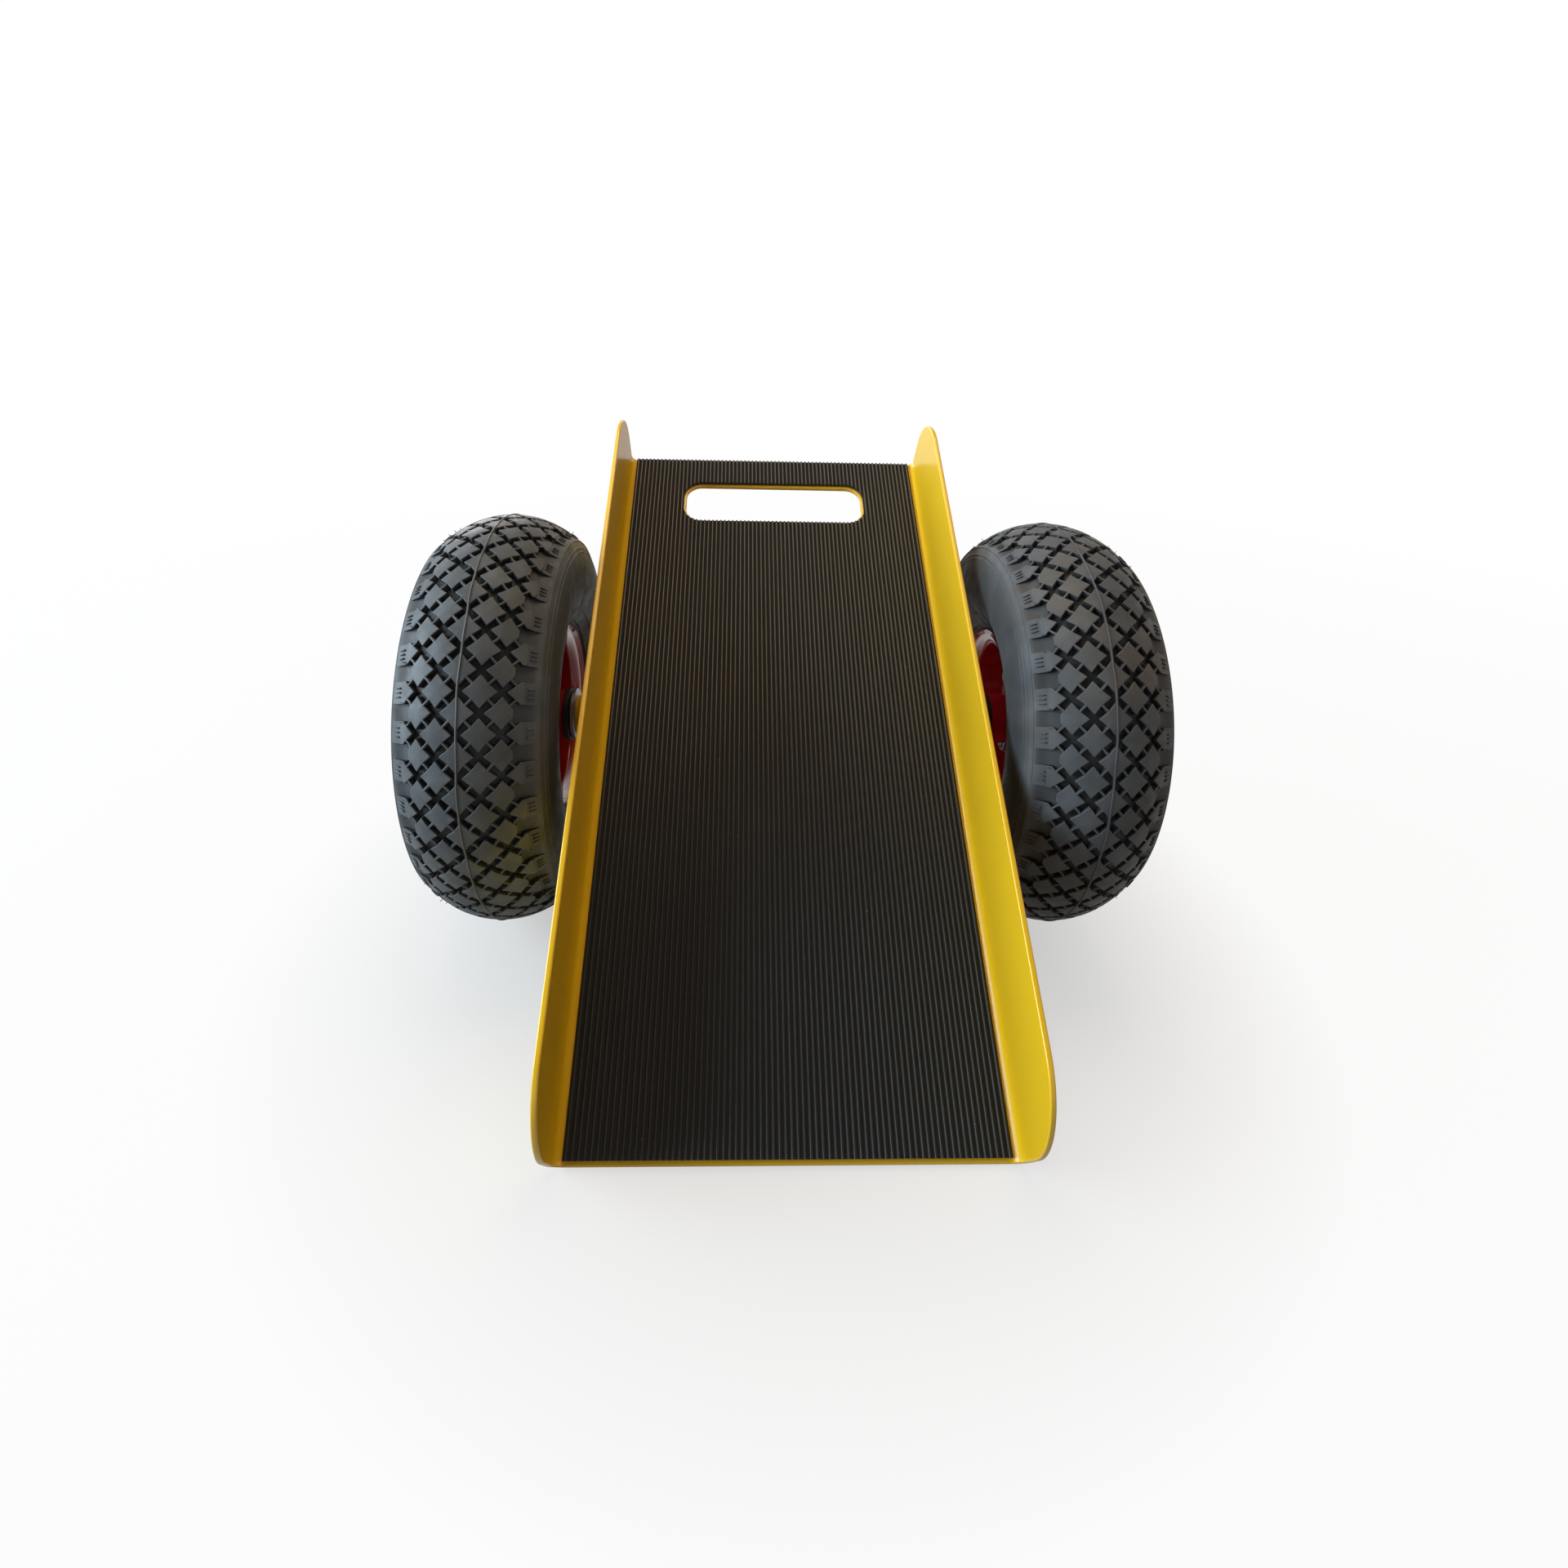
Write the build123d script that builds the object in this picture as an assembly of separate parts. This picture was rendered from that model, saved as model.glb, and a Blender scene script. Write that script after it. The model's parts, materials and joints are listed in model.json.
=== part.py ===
from build123d import *

import math
import os

# Panel dolly: a folded steel tray on two pneumatic wheels. Millimetres, +Z up.
# At rest the front end of the tray lies on the floor and the hand slot end is up.
# X runs along the axle, +Y towards the hand slot, the origin is on the floor under the middle.

# Tray, one folded sheet
tray_length = 480.0
tray_width = 230.0
sheet = 3.0
flange_height = 65.0
bend_radius = 4.0
flange_corner_radius = 40.0
edge_rounding = 0.8

# Hand slot
slot_length = 134.0
slot_width = 36.0
slot_corner_radius = 12.0
slot_to_end = 27.5

# Ribbed mat on the deck
mat_thickness = 3.0
mat_end_margin = 0.8
mat_slot_ledge = 2.0
rib_pitch = 3.0
groove_width = 1.4
groove_depth = 1.0

# Axle bar and the tube that it lies in
axle_diameter = 20.0
axle_offset = 16.0
axle_chamfer = 1.5
tube_wall = 2.4
tube_clearance = 0.1
tube_overhang = 16.5
weld_reach = 11.0
weld_angle = 38.0

# Washers and split pins
washer_diameter = 34.0
washer_thickness = 3.0
washer_clearance = 0.3
washer_chamfer = 0.5
side_clearance = 0.3
pin_diameter = 4.0
pin_clearance = 0.2
pin_to_end = 5.0
pin_eye_radius = 3.6
pin_gap = 0.4
pin_tail_length = 8.0
pin_tail_angle = 25.0

# Hub and its roller bearing
hub_length = 60.0
hub_wall = 2.5
roller_diameter = 4.0
roller_count = 10
running_clearance = 0.04
cage_clearance = 0.3
cage_ring = 3.5
cage_bar_width = 2.0
cage_bar_share = 0.9
end_play = 0.3
seal_plug = 3.0
seal_proud = 4.5
seal_lip = 2.9
seal_clearance = 0.3
seal_fit = 0.05

# Rim, two pressed halves
bead_seat_diameter = 101.6
rim_width = 56.0
rim_sheet = 2.0
rim_lip_height = 7.0
rim_lip_reach = 3.5
rim_bend = 5.0
seat_taper = 1.2

# Rim bolts
bolt_diameter = 8.0
bolt_circle = 66.0
bolt_count = 4
bolt_clearance = 0.3
bolt_flats = 13.0
bolt_head_height = 5.3
bolt_tail = 1.5
nut_height = 6.5
bolt_washer_diameter = 16.0
bolt_washer_thickness = 1.6

# Valve
valve_diameter = 8.0
valve_angle = 48.0
valve_length = 26.0
valve_seat_position = 15.0
valve_clearance = 0.3
valve_thread_diameter = 7.0
valve_thread_length = 8.0
cap_diameter = 9.5
cap_length = 11.0
cap_clearance = 0.15

# Tyre
tyre_diameter = 260.0
tyre_width = 86.0
crown_radius = 53.0
tread_depth = 4.0
shoulder_angle = 45.0
tread_wall = 6.0
side_wall = 4.5
widest_radius = 91.0
bead_width = 10.0
toe_rounding = 1.5
bead_clearance = 0.1
tube_gap = 0.3
inner_tube_wall = 2.0

# Tread: rows of star-shaped blocks left standing between cross-shaped pits
tread_pitches = 36
block_row = 11.3
arm_root_width = 3.0
arm_end_width = 4.4
bridge_width = 1.1
pit_floor_share = 0.88

# Shoulder: a lug behind every second row, a ledge outside it and a recess between two lugs
lug_width = 13.0
lug_angle = 37.3
cut_block_reach = 5.9
ledge_drop = 1.0

# How far a cut runs past the face that it opens
cut_clearance = 2.0

# Worked out from the sizes above
axle_radius = axle_diameter / 2
tube_bore = axle_radius + tube_clearance
tube_radius = tube_bore + tube_wall
deck_under = tube_radius
deck_top = deck_under + sheet
half_width = tray_width / 2
flat_width = tray_width - 2 * (sheet + bend_radius)
rib_count = int(flat_width / rib_pitch + 1e-6)
mat_width = rib_count * rib_pitch
slot_y = tray_length / 2 - slot_to_end - slot_width / 2 - axle_offset
hub_bore = axle_radius + roller_diameter + 2 * running_clearance
hub_radius = hub_bore + hub_wall
roller_circle = axle_radius + running_clearance + roller_diameter / 2
inner_washer_x = half_width + tube_overhang
wheel_x = inner_washer_x + washer_thickness + side_clearance + seal_proud + hub_length / 2
outer_washer_x = wheel_x + hub_length / 2 + seal_proud + side_clearance
pin_x = outer_washer_x + washer_thickness + pin_clearance + pin_diameter / 2
axle_half = pin_x + pin_to_end
seat_radius = bead_seat_diameter / 2
tyre_radius = tyre_diameter / 2
crown_centre = tyre_radius - crown_radius
bead_floor = seat_radius + bead_clearance
bead_top = bead_floor + bead_width
half_pitch = math.pi * tyre_radius / tread_pitches
edge_half = math.hypot(block_row, half_pitch) / 2
arm_length = edge_half - bridge_width / 2
arm_cos = block_row / 2 / edge_half
arm_sin = half_pitch / 2 / edge_half

# Rest attitude: both tyres and the lower front edge of the deck are on the floor
front_reach = tray_length / 2 + axle_offset
front_to_axle = math.hypot(front_reach, deck_under)
tilt = math.degrees(math.asin(tyre_radius / front_to_axle) + math.atan2(deck_under, front_reach))


def rod(x0, x1, radius):
    """Round rod about the X axis between two planes."""
    return extrude(Plane.YZ.offset(x0) * Circle(radius), amount=x1 - x0)


def annulus(x0, x1, inner, outer):
    """Ring about the X axis between two planes."""
    ring = Plane.YZ.offset(x0) * (Circle(outer) - Circle(inner))
    return extrude(ring, amount=x1 - x0)


def around(part, count, start=0.0):
    """Copies of a part spaced evenly about the X axis."""
    return [Rot(start + 360 / count * i, 0, 0) * part for i in range(count)]


def tray():
    """U-shaped folded sheet with rounded flange corners and a hand slot."""
    outer = Pos(0, flange_height / 2) * Rectangle(tray_width, flange_height)
    outer = fillet(outer.vertices().group_by(Axis.Y)[0], bend_radius + sheet)
    inner = Pos(0, sheet + flange_height / 2) * Rectangle(tray_width - 2 * sheet, flange_height)
    inner = fillet(inner.vertices().group_by(Axis.Y)[0], bend_radius)
    channel = extrude(Plane.XZ * (outer - inner), amount=tray_length / 2, both=True)
    side = Pos(0, flange_height / 2) * Rectangle(tray_length, flange_height)
    side = fillet(side.vertices().group_by(Axis.Y)[-1], flange_corner_radius)
    channel = channel & extrude(Plane.YZ * side, amount=half_width, both=True)
    rims = channel.faces().filter_by(lambda f: f.center().Z > flange_height - flange_corner_radius)
    rims = rims.filter_by(lambda f: abs(f.normal_at(f.center()).X) < 0.5)
    top_edges = ShapeList(e for f in rims for e in f.edges() if abs(e.tangent_at(0.5).X) < 0.5)
    channel = fillet(top_edges, edge_rounding)
    channel = Pos(0, -axle_offset, deck_under) * channel
    slot = Pos(0, slot_y) * RectangleRounded(slot_length, slot_width, slot_corner_radius)
    return channel - extrude(Plane.XY.offset(deck_under) * slot, amount=sheet)


def ribbed_mat():
    """Rubber mat with ribs along the tray, cut back round the hand slot."""
    length = tray_length - 2 * mat_end_margin
    base = Pos(0, mat_thickness / 2) * Rectangle(mat_width, mat_thickness)
    points = [(-groove_width / 2, 0), (groove_width / 2, 0), (0, -groove_depth)]
    groove = make_face(Polyline(*points, close=True))
    first = -mat_width / 2 + rib_pitch
    grooves = [Pos(first + i * rib_pitch, mat_thickness) * groove for i in range(rib_count - 1)]
    strip = extrude(Plane.XZ * (base - grooves), amount=length / 2, both=True)
    strip = Pos(0, -axle_offset, deck_top) * strip
    ledge = 2 * mat_slot_ledge
    hole = RectangleRounded(slot_length + ledge, slot_width + ledge, slot_corner_radius + mat_slot_ledge)
    return strip - extrude(Plane.XY.offset(deck_top) * Pos(0, slot_y) * hole, amount=mat_thickness)


def axle_tube():
    """Tube under the deck with the weld that runs along both of its sides."""
    length = inner_washer_x
    angle = math.radians(weld_angle)
    foot = (tube_radius * math.cos(angle), tube_radius * math.sin(angle))
    half = [foot, (weld_reach, deck_under)]
    weld = make_face(Polyline((0, 0), *half, *[(-x, y) for x, y in reversed(half)], close=True))
    weld = extrude(Plane.YZ * weld, amount=flat_width / 2, both=True)
    return rod(-length, length, tube_radius) + weld - rod(-length, length, tube_bore)


def axle():
    """Round bar with a cross hole for a split pin near each end."""
    bar = rod(-axle_half, axle_half, axle_radius)
    bar = chamfer(bar.edges().filter_by(GeomType.CIRCLE), axle_chamfer)
    hole = Cylinder(pin_diameter / 2 + pin_clearance, axle_diameter + 2 * cut_clearance)
    return bar - [Pos(side * pin_x, 0, 0) * hole for side in (-1, 1)]


def washer():
    """Plain washer that starts at x = 0."""
    ring = annulus(0, washer_thickness, axle_radius + washer_clearance, washer_diameter / 2)
    rims = ring.edges().filter_by(GeomType.CIRCLE).group_by(SortBy.RADIUS)[-1]
    return chamfer(rims, washer_chamfer)


def split_pin():
    """Split pin through the axle: an eye above, two half-round legs spread below."""
    radius = pin_diameter / 2
    top = axle_radius + pin_eye_radius
    shank = Pos(0, 0, top / 2 - axle_radius / 2) * Cylinder(radius, top + axle_radius)
    eye = Pos(0, 0, top + pin_eye_radius) * Rot(90, 0, 0) * Torus(pin_eye_radius, radius / 2)
    tail = Cylinder(radius, pin_tail_length, align=(Align.CENTER, Align.CENTER, Align.MAX))
    spread = [Pos(0, 0, -axle_radius) * Rot(0, turn, 0) * tail for turn in (-pin_tail_angle, pin_tail_angle)]
    slit = Pos(0, 0, -axle_radius - 1) * Box(pin_gap, pin_diameter, top + axle_radius)
    return Rot(0, 0, 90) * (shank + eye + spread - slit)


def hub():
    """Hub tube whose bore is the outer race of the rollers."""
    return annulus(-hub_length / 2, hub_length / 2, hub_bore, hub_radius)


def hub_seals():
    """Two dust seals plugged into the hub's ends."""
    seal = annulus(-seal_plug, 0, axle_radius + seal_clearance, hub_bore - seal_fit)
    seal = seal + annulus(0, seal_proud, axle_radius + seal_clearance, hub_bore + seal_lip)
    seal = Pos(hub_length / 2, 0, 0) * seal
    return [seal, Rot(0, 0, 180) * seal]


cage_half = hub_length / 2 - seal_plug - end_play
roller_length = 2 * (cage_half - cage_ring - end_play)


def rollers():
    """Bearing rollers between the axle and the hub's bore."""
    roller = rod(-roller_length / 2, roller_length / 2, roller_diameter / 2)
    return around(Pos(0, 0, roller_circle) * roller, roller_count)


def roller_cage():
    """Two end rings joined by a bar between each pair of rollers."""
    inner = axle_radius + cage_clearance
    outer = hub_bore - cage_clearance
    rings = [annulus(-cage_half, -cage_half + cage_ring, inner, outer)]
    rings.append(annulus(cage_half - cage_ring, cage_half, inner, outer))
    bar = Box(2 * cage_half - cage_ring, cage_bar_width, (outer - inner) * cage_bar_share)
    bar = Pos(0, 0, (inner + outer) / 2) * bar
    cage = rings[0]
    for piece in rings[1:] + around(bar, roller_count, 180 / roller_count):
        cage = cage + piece
    return cage


def bolt_places(part):
    """Copies of a part on the rim's bolt circle."""
    return around(Pos(0, 0, bolt_circle / 2) * part, bolt_count)


def hexagon(x0, x1):
    """Hexagonal prism along X."""
    across_corners = bolt_flats / math.cos(math.pi / 6) / 2
    return extrude(Plane.YZ.offset(x0) * RegularPolygon(across_corners, 6), amount=x1 - x0)


def valve_line():
    """Frame of the valve: its origin in the seat wall, its Z axis out of the rim."""
    angle = math.radians(valve_angle)
    out = (math.cos(angle), 0, -math.sin(angle))
    return Plane((valve_seat_position, 0, seat_radius), x_dir=(0, 1, 0), z_dir=out)


def rim_half(with_valve):
    """Pressed rim half: a disc, the bead seat and an outward lip."""
    heel = rim_width / 2
    lip = seat_radius + rim_lip_height
    points = [(0, hub_radius), (0, seat_radius - seat_taper), (heel, seat_radius), (heel, lip)]
    points.append((heel + rim_lip_reach, lip + rim_lip_reach / 2))
    path = FilletPolyline(*points, radius=[rim_bend, rim_bend, rim_lip_reach / 2])
    section = make_face(offset(path, amount=rim_sheet, side=Side.RIGHT))
    half = revolve(section, Axis.X)
    hole = rod(-cut_clearance, rim_sheet + cut_clearance, bolt_diameter / 2 + bolt_clearance)
    half = half - bolt_places(hole)
    if with_valve:
        hole = valve_line() * Circle(valve_diameter / 2 + valve_clearance)
        bore = extrude(hole, amount=valve_length / 2, both=True)
        half = half - Rot(180 / bolt_count, 0, 0) * bore
    return half


def rim_bolts():
    """Hexagon bolts put in from the outer half."""
    shank_end = -rim_sheet - bolt_washer_thickness - nut_height - bolt_tail
    bolt = hexagon(rim_sheet, rim_sheet + bolt_head_height)
    bolt = bolt + rod(shank_end, rim_sheet, bolt_diameter / 2)
    return bolt_places(bolt)


def rim_washers():
    """Washers between the inner half and the nuts."""
    end = -rim_sheet - bolt_washer_thickness
    return bolt_places(annulus(end, -rim_sheet, bolt_diameter / 2 + bolt_clearance, bolt_washer_diameter / 2))


def rim_nuts():
    """Hexagon nuts on the inner half."""
    face = -rim_sheet - bolt_washer_thickness
    nut = hexagon(face - nut_height, face) - rod(face - nut_height, face, bolt_diameter / 2)
    return bolt_places(nut)


def valve_stem():
    """Valve stem through the seat wall of the outer half, with a thread for its cap."""
    stem = extrude(valve_line() * Circle(valve_diameter / 2), amount=valve_length)
    stem = stem + extrude(valve_line() * Circle(valve_diameter / 2), amount=-valve_length / 2)
    tip = valve_line().offset(valve_length) * Circle(valve_thread_diameter / 2)
    stem = stem + extrude(tip, amount=valve_thread_length)
    stem = stem & rod(-rim_width, rim_width, seat_radius - seat_taper / 2)
    return Rot(180 / bolt_count, 0, 0) * stem


def valve_cap():
    """Cap over the valve's thread."""
    base = valve_line().offset(valve_length)
    cap = extrude(base * Circle(cap_diameter / 2), amount=cap_length)
    cap = fillet(cap.faces().sort_by(Axis(base.origin, base.z_dir))[-1].edges(), cap_diameter / 5)
    thread = base * Circle(valve_thread_diameter / 2 + cap_clearance)
    bore = extrude(thread, amount=valve_thread_length + cap_clearance)
    return Rot(180 / bolt_count, 0, 0) * (cap - bore)


def crown_point(radius, angle):
    """Point of the tyre's section at a distance and an angle from the crown's centre."""
    return (radius * math.sin(angle), crown_centre + radius * math.cos(angle))


def toe_point(gap):
    """Point where the tyre's cavity meets its bead, made smaller by a gap."""
    return (rim_width / 2 - bead_width - gap, bead_top + gap)


def cavity_lines(gap):
    """Right half of the tyre's cavity from its bead to its crown, made smaller by a gap."""
    turn = math.radians(shoulder_angle)
    crown = crown_radius - tread_depth - tread_wall - gap
    widest = (tyre_width / 2 - side_wall - gap, widest_radius)
    shoulder = crown_point(crown, turn)
    lines = TangentArc(widest, toe_point(gap), tangent=(0, -1))
    lines = lines + TangentArc(widest, shoulder, tangent=(0, 1))
    return lines + ThreePointArc(shoulder, crown_point(crown, turn / 2), crown_point(crown, 0))


def inner_tube_section(gap):
    """Outline of the inner tube's section, made smaller by a gap."""
    toe = toe_point(gap)
    floor = bead_floor + gap
    lines = cavity_lines(gap) + Polyline((0, floor), (toe[0], floor), toe)
    return make_face(lines + mirror(lines, Plane.YZ))


def inner_tube():
    """Inflated tube lying against the tyre's cavity and the rim."""
    section = inner_tube_section(tube_gap) - inner_tube_section(tube_gap + inner_tube_wall)
    return revolve(section, Axis.X)


def shoulder_ring():
    """Point of the tyre's section where the tread runs out on the side wall."""
    return crown_point(crown_radius, math.radians(shoulder_angle))


def tyre_body():
    """Tyre before its tread is cut: beads, side walls, the ledge of the shoulder and a round crown."""
    turn = math.radians(lug_angle)
    toe = toe_point(0)
    heel = rim_width / 2 - bead_clearance
    lip = (heel, bead_floor + rim_lip_height)
    widest = (tyre_width / 2, widest_radius)
    edge = crown_point(crown_radius, turn)
    bead = [toe, (toe[0], bead_floor), (heel, bead_floor), lip]
    lines = cavity_lines(0) + FilletPolyline(*bead, radius=[toe_rounding, rim_bend])
    lines = lines + TangentArc(widest, lip, tangent=(0, -1))
    lines = lines + TangentArc(widest, shoulder_ring(), tangent=(0, 1))
    lines = lines + Polyline(shoulder_ring(), crown_point(crown_radius - ledge_drop, turn), edge)
    lines = lines + ThreePointArc(edge, crown_point(crown_radius, turn / 2), crown_point(crown_radius, 0))
    return revolve(make_face(lines + mirror(lines, Plane.YZ)), Axis.X)


def arm_corners():
    """Two corners at the end of a pit's arm: beside the block across from it and the one along from it."""
    middle = (arm_length * arm_cos, arm_length * arm_sin)
    half = arm_end_width / 2
    across = (middle[0] + arm_sin * half, middle[1] - arm_cos * half)
    along = (middle[0] - arm_sin * half, middle[1] + arm_cos * half)
    return across, along


def pit_outline(share, height):
    """Corners of a pit with four widening arms, scaled by a share and set to a height over the tread."""
    slope = (arm_end_width - arm_root_width) / 2 / arm_length
    tip_across = arm_root_width / 2 / (arm_sin - slope * arm_cos)
    tip_along = arm_root_width / 2 / (arm_cos - slope * arm_sin)
    across, along = arm_corners()
    outline = []
    for sx, sy in ((1, 1), (-1, 1), (-1, -1), (1, -1)):
        corners = [(tip_across, 0), across, along] if sx == sy else [(0, tip_along), along, across]
        outline += [(sx * x * share, sy * y * share, height) for x, y in corners]
    return outline


def cross_pit():
    """Cross-shaped pit with drafted walls, its mouth in the XY plane."""
    open_share = 1 + (1 - pit_floor_share) * cut_clearance / tread_depth
    floor = pit_outline(pit_floor_share, -tread_depth)
    top = pit_outline(open_share, cut_clearance)
    faces = [Face(Wire.make_polygon(floor)), Face(Wire.make_polygon(top))]
    for i in range(len(floor)):
        faces.append(Face(Wire.make_polygon([floor[i - 1], floor[i], top[i], top[i - 1]])))
    return Solid(Shell(faces))


def shoulder_recess():
    """Recess between two lugs, from the cut tip of a block down to the shoulder ring."""
    start = crown_point(crown_radius - tread_depth, (2 * block_row + cut_block_reach) / crown_radius)
    end = shoulder_ring()
    run = math.hypot(end[0] - start[0], end[1] - start[1])
    along = ((end[0] - start[0]) / run, 0, (end[1] - start[1]) / run)
    floor = Plane((start[0], 0, start[1]), x_dir=along, z_dir=(-along[2], 0, along[0]))
    across = arm_corners()[0]
    block = (block_row - across[0] - cut_block_reach, across[1])
    tip = block[1] + block[0] * arm_sin / arm_cos
    lug = (block_row - arm_corners()[1][0] - cut_block_reach, arm_corners()[1][1])
    edge = half_pitch - lug_width / 2
    lug_side = lug[0] + (lug[1] - edge) * arm_cos / arm_sin
    side = [(0, tip), block, lug, (lug_side, edge), (run + cut_clearance, edge)]
    outline = side + [(x, -y) for x, y in reversed(side)]
    return extrude(floor * make_face(Polyline(*outline, close=True)), amount=tread_depth + cut_clearance)


def tread_cuts():
    """Pits between the blocks of the crown and recesses between the lugs of both shoulders."""
    pit = cross_pit()
    cuts = []
    for row in range(-2, 3):
        angle = row * block_row / crown_radius
        x, radius = crown_point(crown_radius, angle)
        out = (math.sin(angle), 0, math.cos(angle))
        seat = Plane((x, 0, radius), x_dir=(out[2], 0, -out[0]), z_dir=out)
        start = 0 if row % 2 else 180 / tread_pitches
        cuts += around(seat.location * pit, tread_pitches, start)
    for turn in (0, 180):
        cuts += around(Rot(0, 0, turn) * shoulder_recess(), tread_pitches)
    return cuts


def tyre():
    """Tyre with its tread of star-shaped blocks and shoulder lugs."""
    return tyre_body() - tread_cuts()


def place(part, side):
    """A wheel part, or a group of them, on its side of the axle."""
    turn = 0 if side > 0 else 180
    spot = Pos(side * wheel_x, 0, 0) * Rot(0, 0, turn)
    if isinstance(part, list):
        return Compound([spot * p for p in part])
    return spot * part


chassis = {"tray": tray(), "ribbed_mat": ribbed_mat(), "axle_tube": axle_tube(), "axle": axle()}
wheel = {
    "tyre": tyre(),
    "inner_tube": inner_tube(),
    "rim_outer_half": rim_half(True),
    "rim_inner_half": Rot(0, 0, 180) * rim_half(False),
    "hub": hub(),
    "hub_seals": hub_seals(),
    "rollers": rollers(),
    "roller_cage": roller_cage(),
    "rim_bolts": rim_bolts(),
    "rim_washers": rim_washers(),
    "rim_nuts": rim_nuts(),
    "valve_stem": valve_stem(),
    "valve_cap": valve_cap(),
    "inner_washer": Pos(inner_washer_x + washer_thickness - wheel_x, 0, 0) * Rot(0, 0, 180) * washer(),
    "outer_washer": Pos(outer_washer_x - wheel_x, 0, 0) * washer(),
    "split_pin": Pos(pin_x - wheel_x, 0, 0) * split_pin(),
}
nodes = dict(chassis)
for name, part in wheel.items():
    nodes["left_" + name] = place(part, -1)
    nodes["right_" + name] = place(part, 1)

# Stand the dolly on the floor with the middle of its box over the origin
tilted = Rot(tilt, 0, 0) * chassis["tray"]
low_y = min(tilted.bounding_box().min.Y, -tyre_radius)
high_y = max(tilted.bounding_box().max.Y, tyre_radius)
rest = Pos(0, -(low_y + high_y) / 2, tyre_radius) * Rot(tilt, 0, 0)

os.makedirs("parts", exist_ok=True)
for name, part in nodes.items():
    export_step(rest * part, "parts/" + name + ".step")
print("tilt", round(tilt, 3), "axle y", round(-(low_y + high_y) / 2, 3))
print("wheel x", wheel_x, "axle half", axle_half)
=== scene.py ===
import json
import math

import bmesh
import bpy
from bpy.props import FloatProperty, FloatVectorProperty, IntProperty, PointerProperty
from mathutils import Matrix, Vector


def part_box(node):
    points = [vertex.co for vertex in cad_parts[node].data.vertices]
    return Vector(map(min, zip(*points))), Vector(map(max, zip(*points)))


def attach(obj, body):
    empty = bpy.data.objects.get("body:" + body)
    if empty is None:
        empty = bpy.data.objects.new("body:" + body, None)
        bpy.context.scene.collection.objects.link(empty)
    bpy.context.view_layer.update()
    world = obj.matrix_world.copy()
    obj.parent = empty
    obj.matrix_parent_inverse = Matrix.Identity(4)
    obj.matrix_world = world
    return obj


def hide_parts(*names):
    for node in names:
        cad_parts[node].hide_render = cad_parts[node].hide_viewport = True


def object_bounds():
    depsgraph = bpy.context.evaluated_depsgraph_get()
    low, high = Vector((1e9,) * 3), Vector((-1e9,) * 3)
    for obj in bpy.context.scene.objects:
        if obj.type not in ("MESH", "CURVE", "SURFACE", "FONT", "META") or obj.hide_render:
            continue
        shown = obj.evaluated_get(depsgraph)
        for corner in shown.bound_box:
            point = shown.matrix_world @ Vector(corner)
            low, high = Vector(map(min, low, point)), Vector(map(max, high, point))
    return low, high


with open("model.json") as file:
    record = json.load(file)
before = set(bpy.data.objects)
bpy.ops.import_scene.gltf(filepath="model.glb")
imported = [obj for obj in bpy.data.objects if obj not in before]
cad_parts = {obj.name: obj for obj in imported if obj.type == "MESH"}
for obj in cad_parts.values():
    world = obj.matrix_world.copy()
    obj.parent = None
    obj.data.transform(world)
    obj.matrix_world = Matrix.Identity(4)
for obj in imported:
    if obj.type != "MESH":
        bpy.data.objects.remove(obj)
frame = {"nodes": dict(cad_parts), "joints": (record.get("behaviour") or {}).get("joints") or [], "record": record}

bl_info = {
    "name": "Panel dolly",
    "version": (1, 0, 0),
    "blender": (4, 5, 0),
    "location": "3D View > Sidebar > Dolly",
    "description": "Finishes a panel dolly: coated tray, ribbed mat and block-tread tyres",
    "category": "Object",
}

MM = 0.001
SIDES = {"left": -1, "right": 1}
CAD_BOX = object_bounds()
WELD_DISTANCE = 0.01 * MM
WHITE = (1, 1, 1, 1)


# Places, read from the frame

def mount(name):
    """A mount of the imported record."""
    return next(m for m in frame["record"]["mounts"] if m["name"] == name)


def tray_frame():
    """Frame of the tray: X across, Y towards the hand slot, Z out of the mat, origin on the mat's top."""
    up = Vector(mount("load_deck")["axis"]).normalized()
    along = Vector((0, up.z, -up.y))
    place = Matrix((Vector((1, 0, 0)), along, up)).transposed().to_4x4()
    place.translation = Vector((0, *mount("load_deck")["pos_m"][1:]))
    return place


TRAY = tray_frame()
TILT = math.atan2(TRAY[2][1], TRAY[1][1])
AXLE = Matrix.Translation(frame["joints"][0]["pos_m"]) @ Matrix.Rotation(TILT, 4, "X")


def extent(node, place):
    """Lowest and highest corner of a CAD node in a frame of its own."""
    inverse = place.inverted()
    points = [inverse @ v.co for v in frame["nodes"][node].data.vertices]
    low = Vector([min(p[i] for p in points) for i in range(3)])
    high = Vector([max(p[i] for p in points) for i in range(3)])
    return low, high


def wheel_frame(side):
    """Frame of a wheel: X outwards along the axle, origin in the wheel's middle plane."""
    low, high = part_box(side + "_hub")
    half_turn = Matrix.Rotation(math.pi if SIDES[side] < 0 else 0, 4, "Z")
    return AXLE @ Matrix.Translation(((low.x + high.x) / 2, 0, 0)) @ half_turn


# Sizes and colours that a user would change

def length(name, description, default):
    """A length in metres."""
    return FloatProperty(name=name, description=description, default=default, unit="LENGTH", precision=5)


def angle(name, description, default):
    """An angle in radians."""
    return FloatProperty(name=name, description=description, default=default, subtype="ANGLE")


def number(name, description, default):
    """A plain number."""
    return FloatProperty(name=name, description=description, default=default, precision=4)


def count(name, description, default, least):
    """A whole number."""
    return IntProperty(name=name, description=description, default=default, min=least)


def colour(name, description, default):
    """A linear colour."""
    return FloatVectorProperty(name=name, description=description, default=default, subtype="COLOR",
                               size=3, min=0, max=1)


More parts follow.
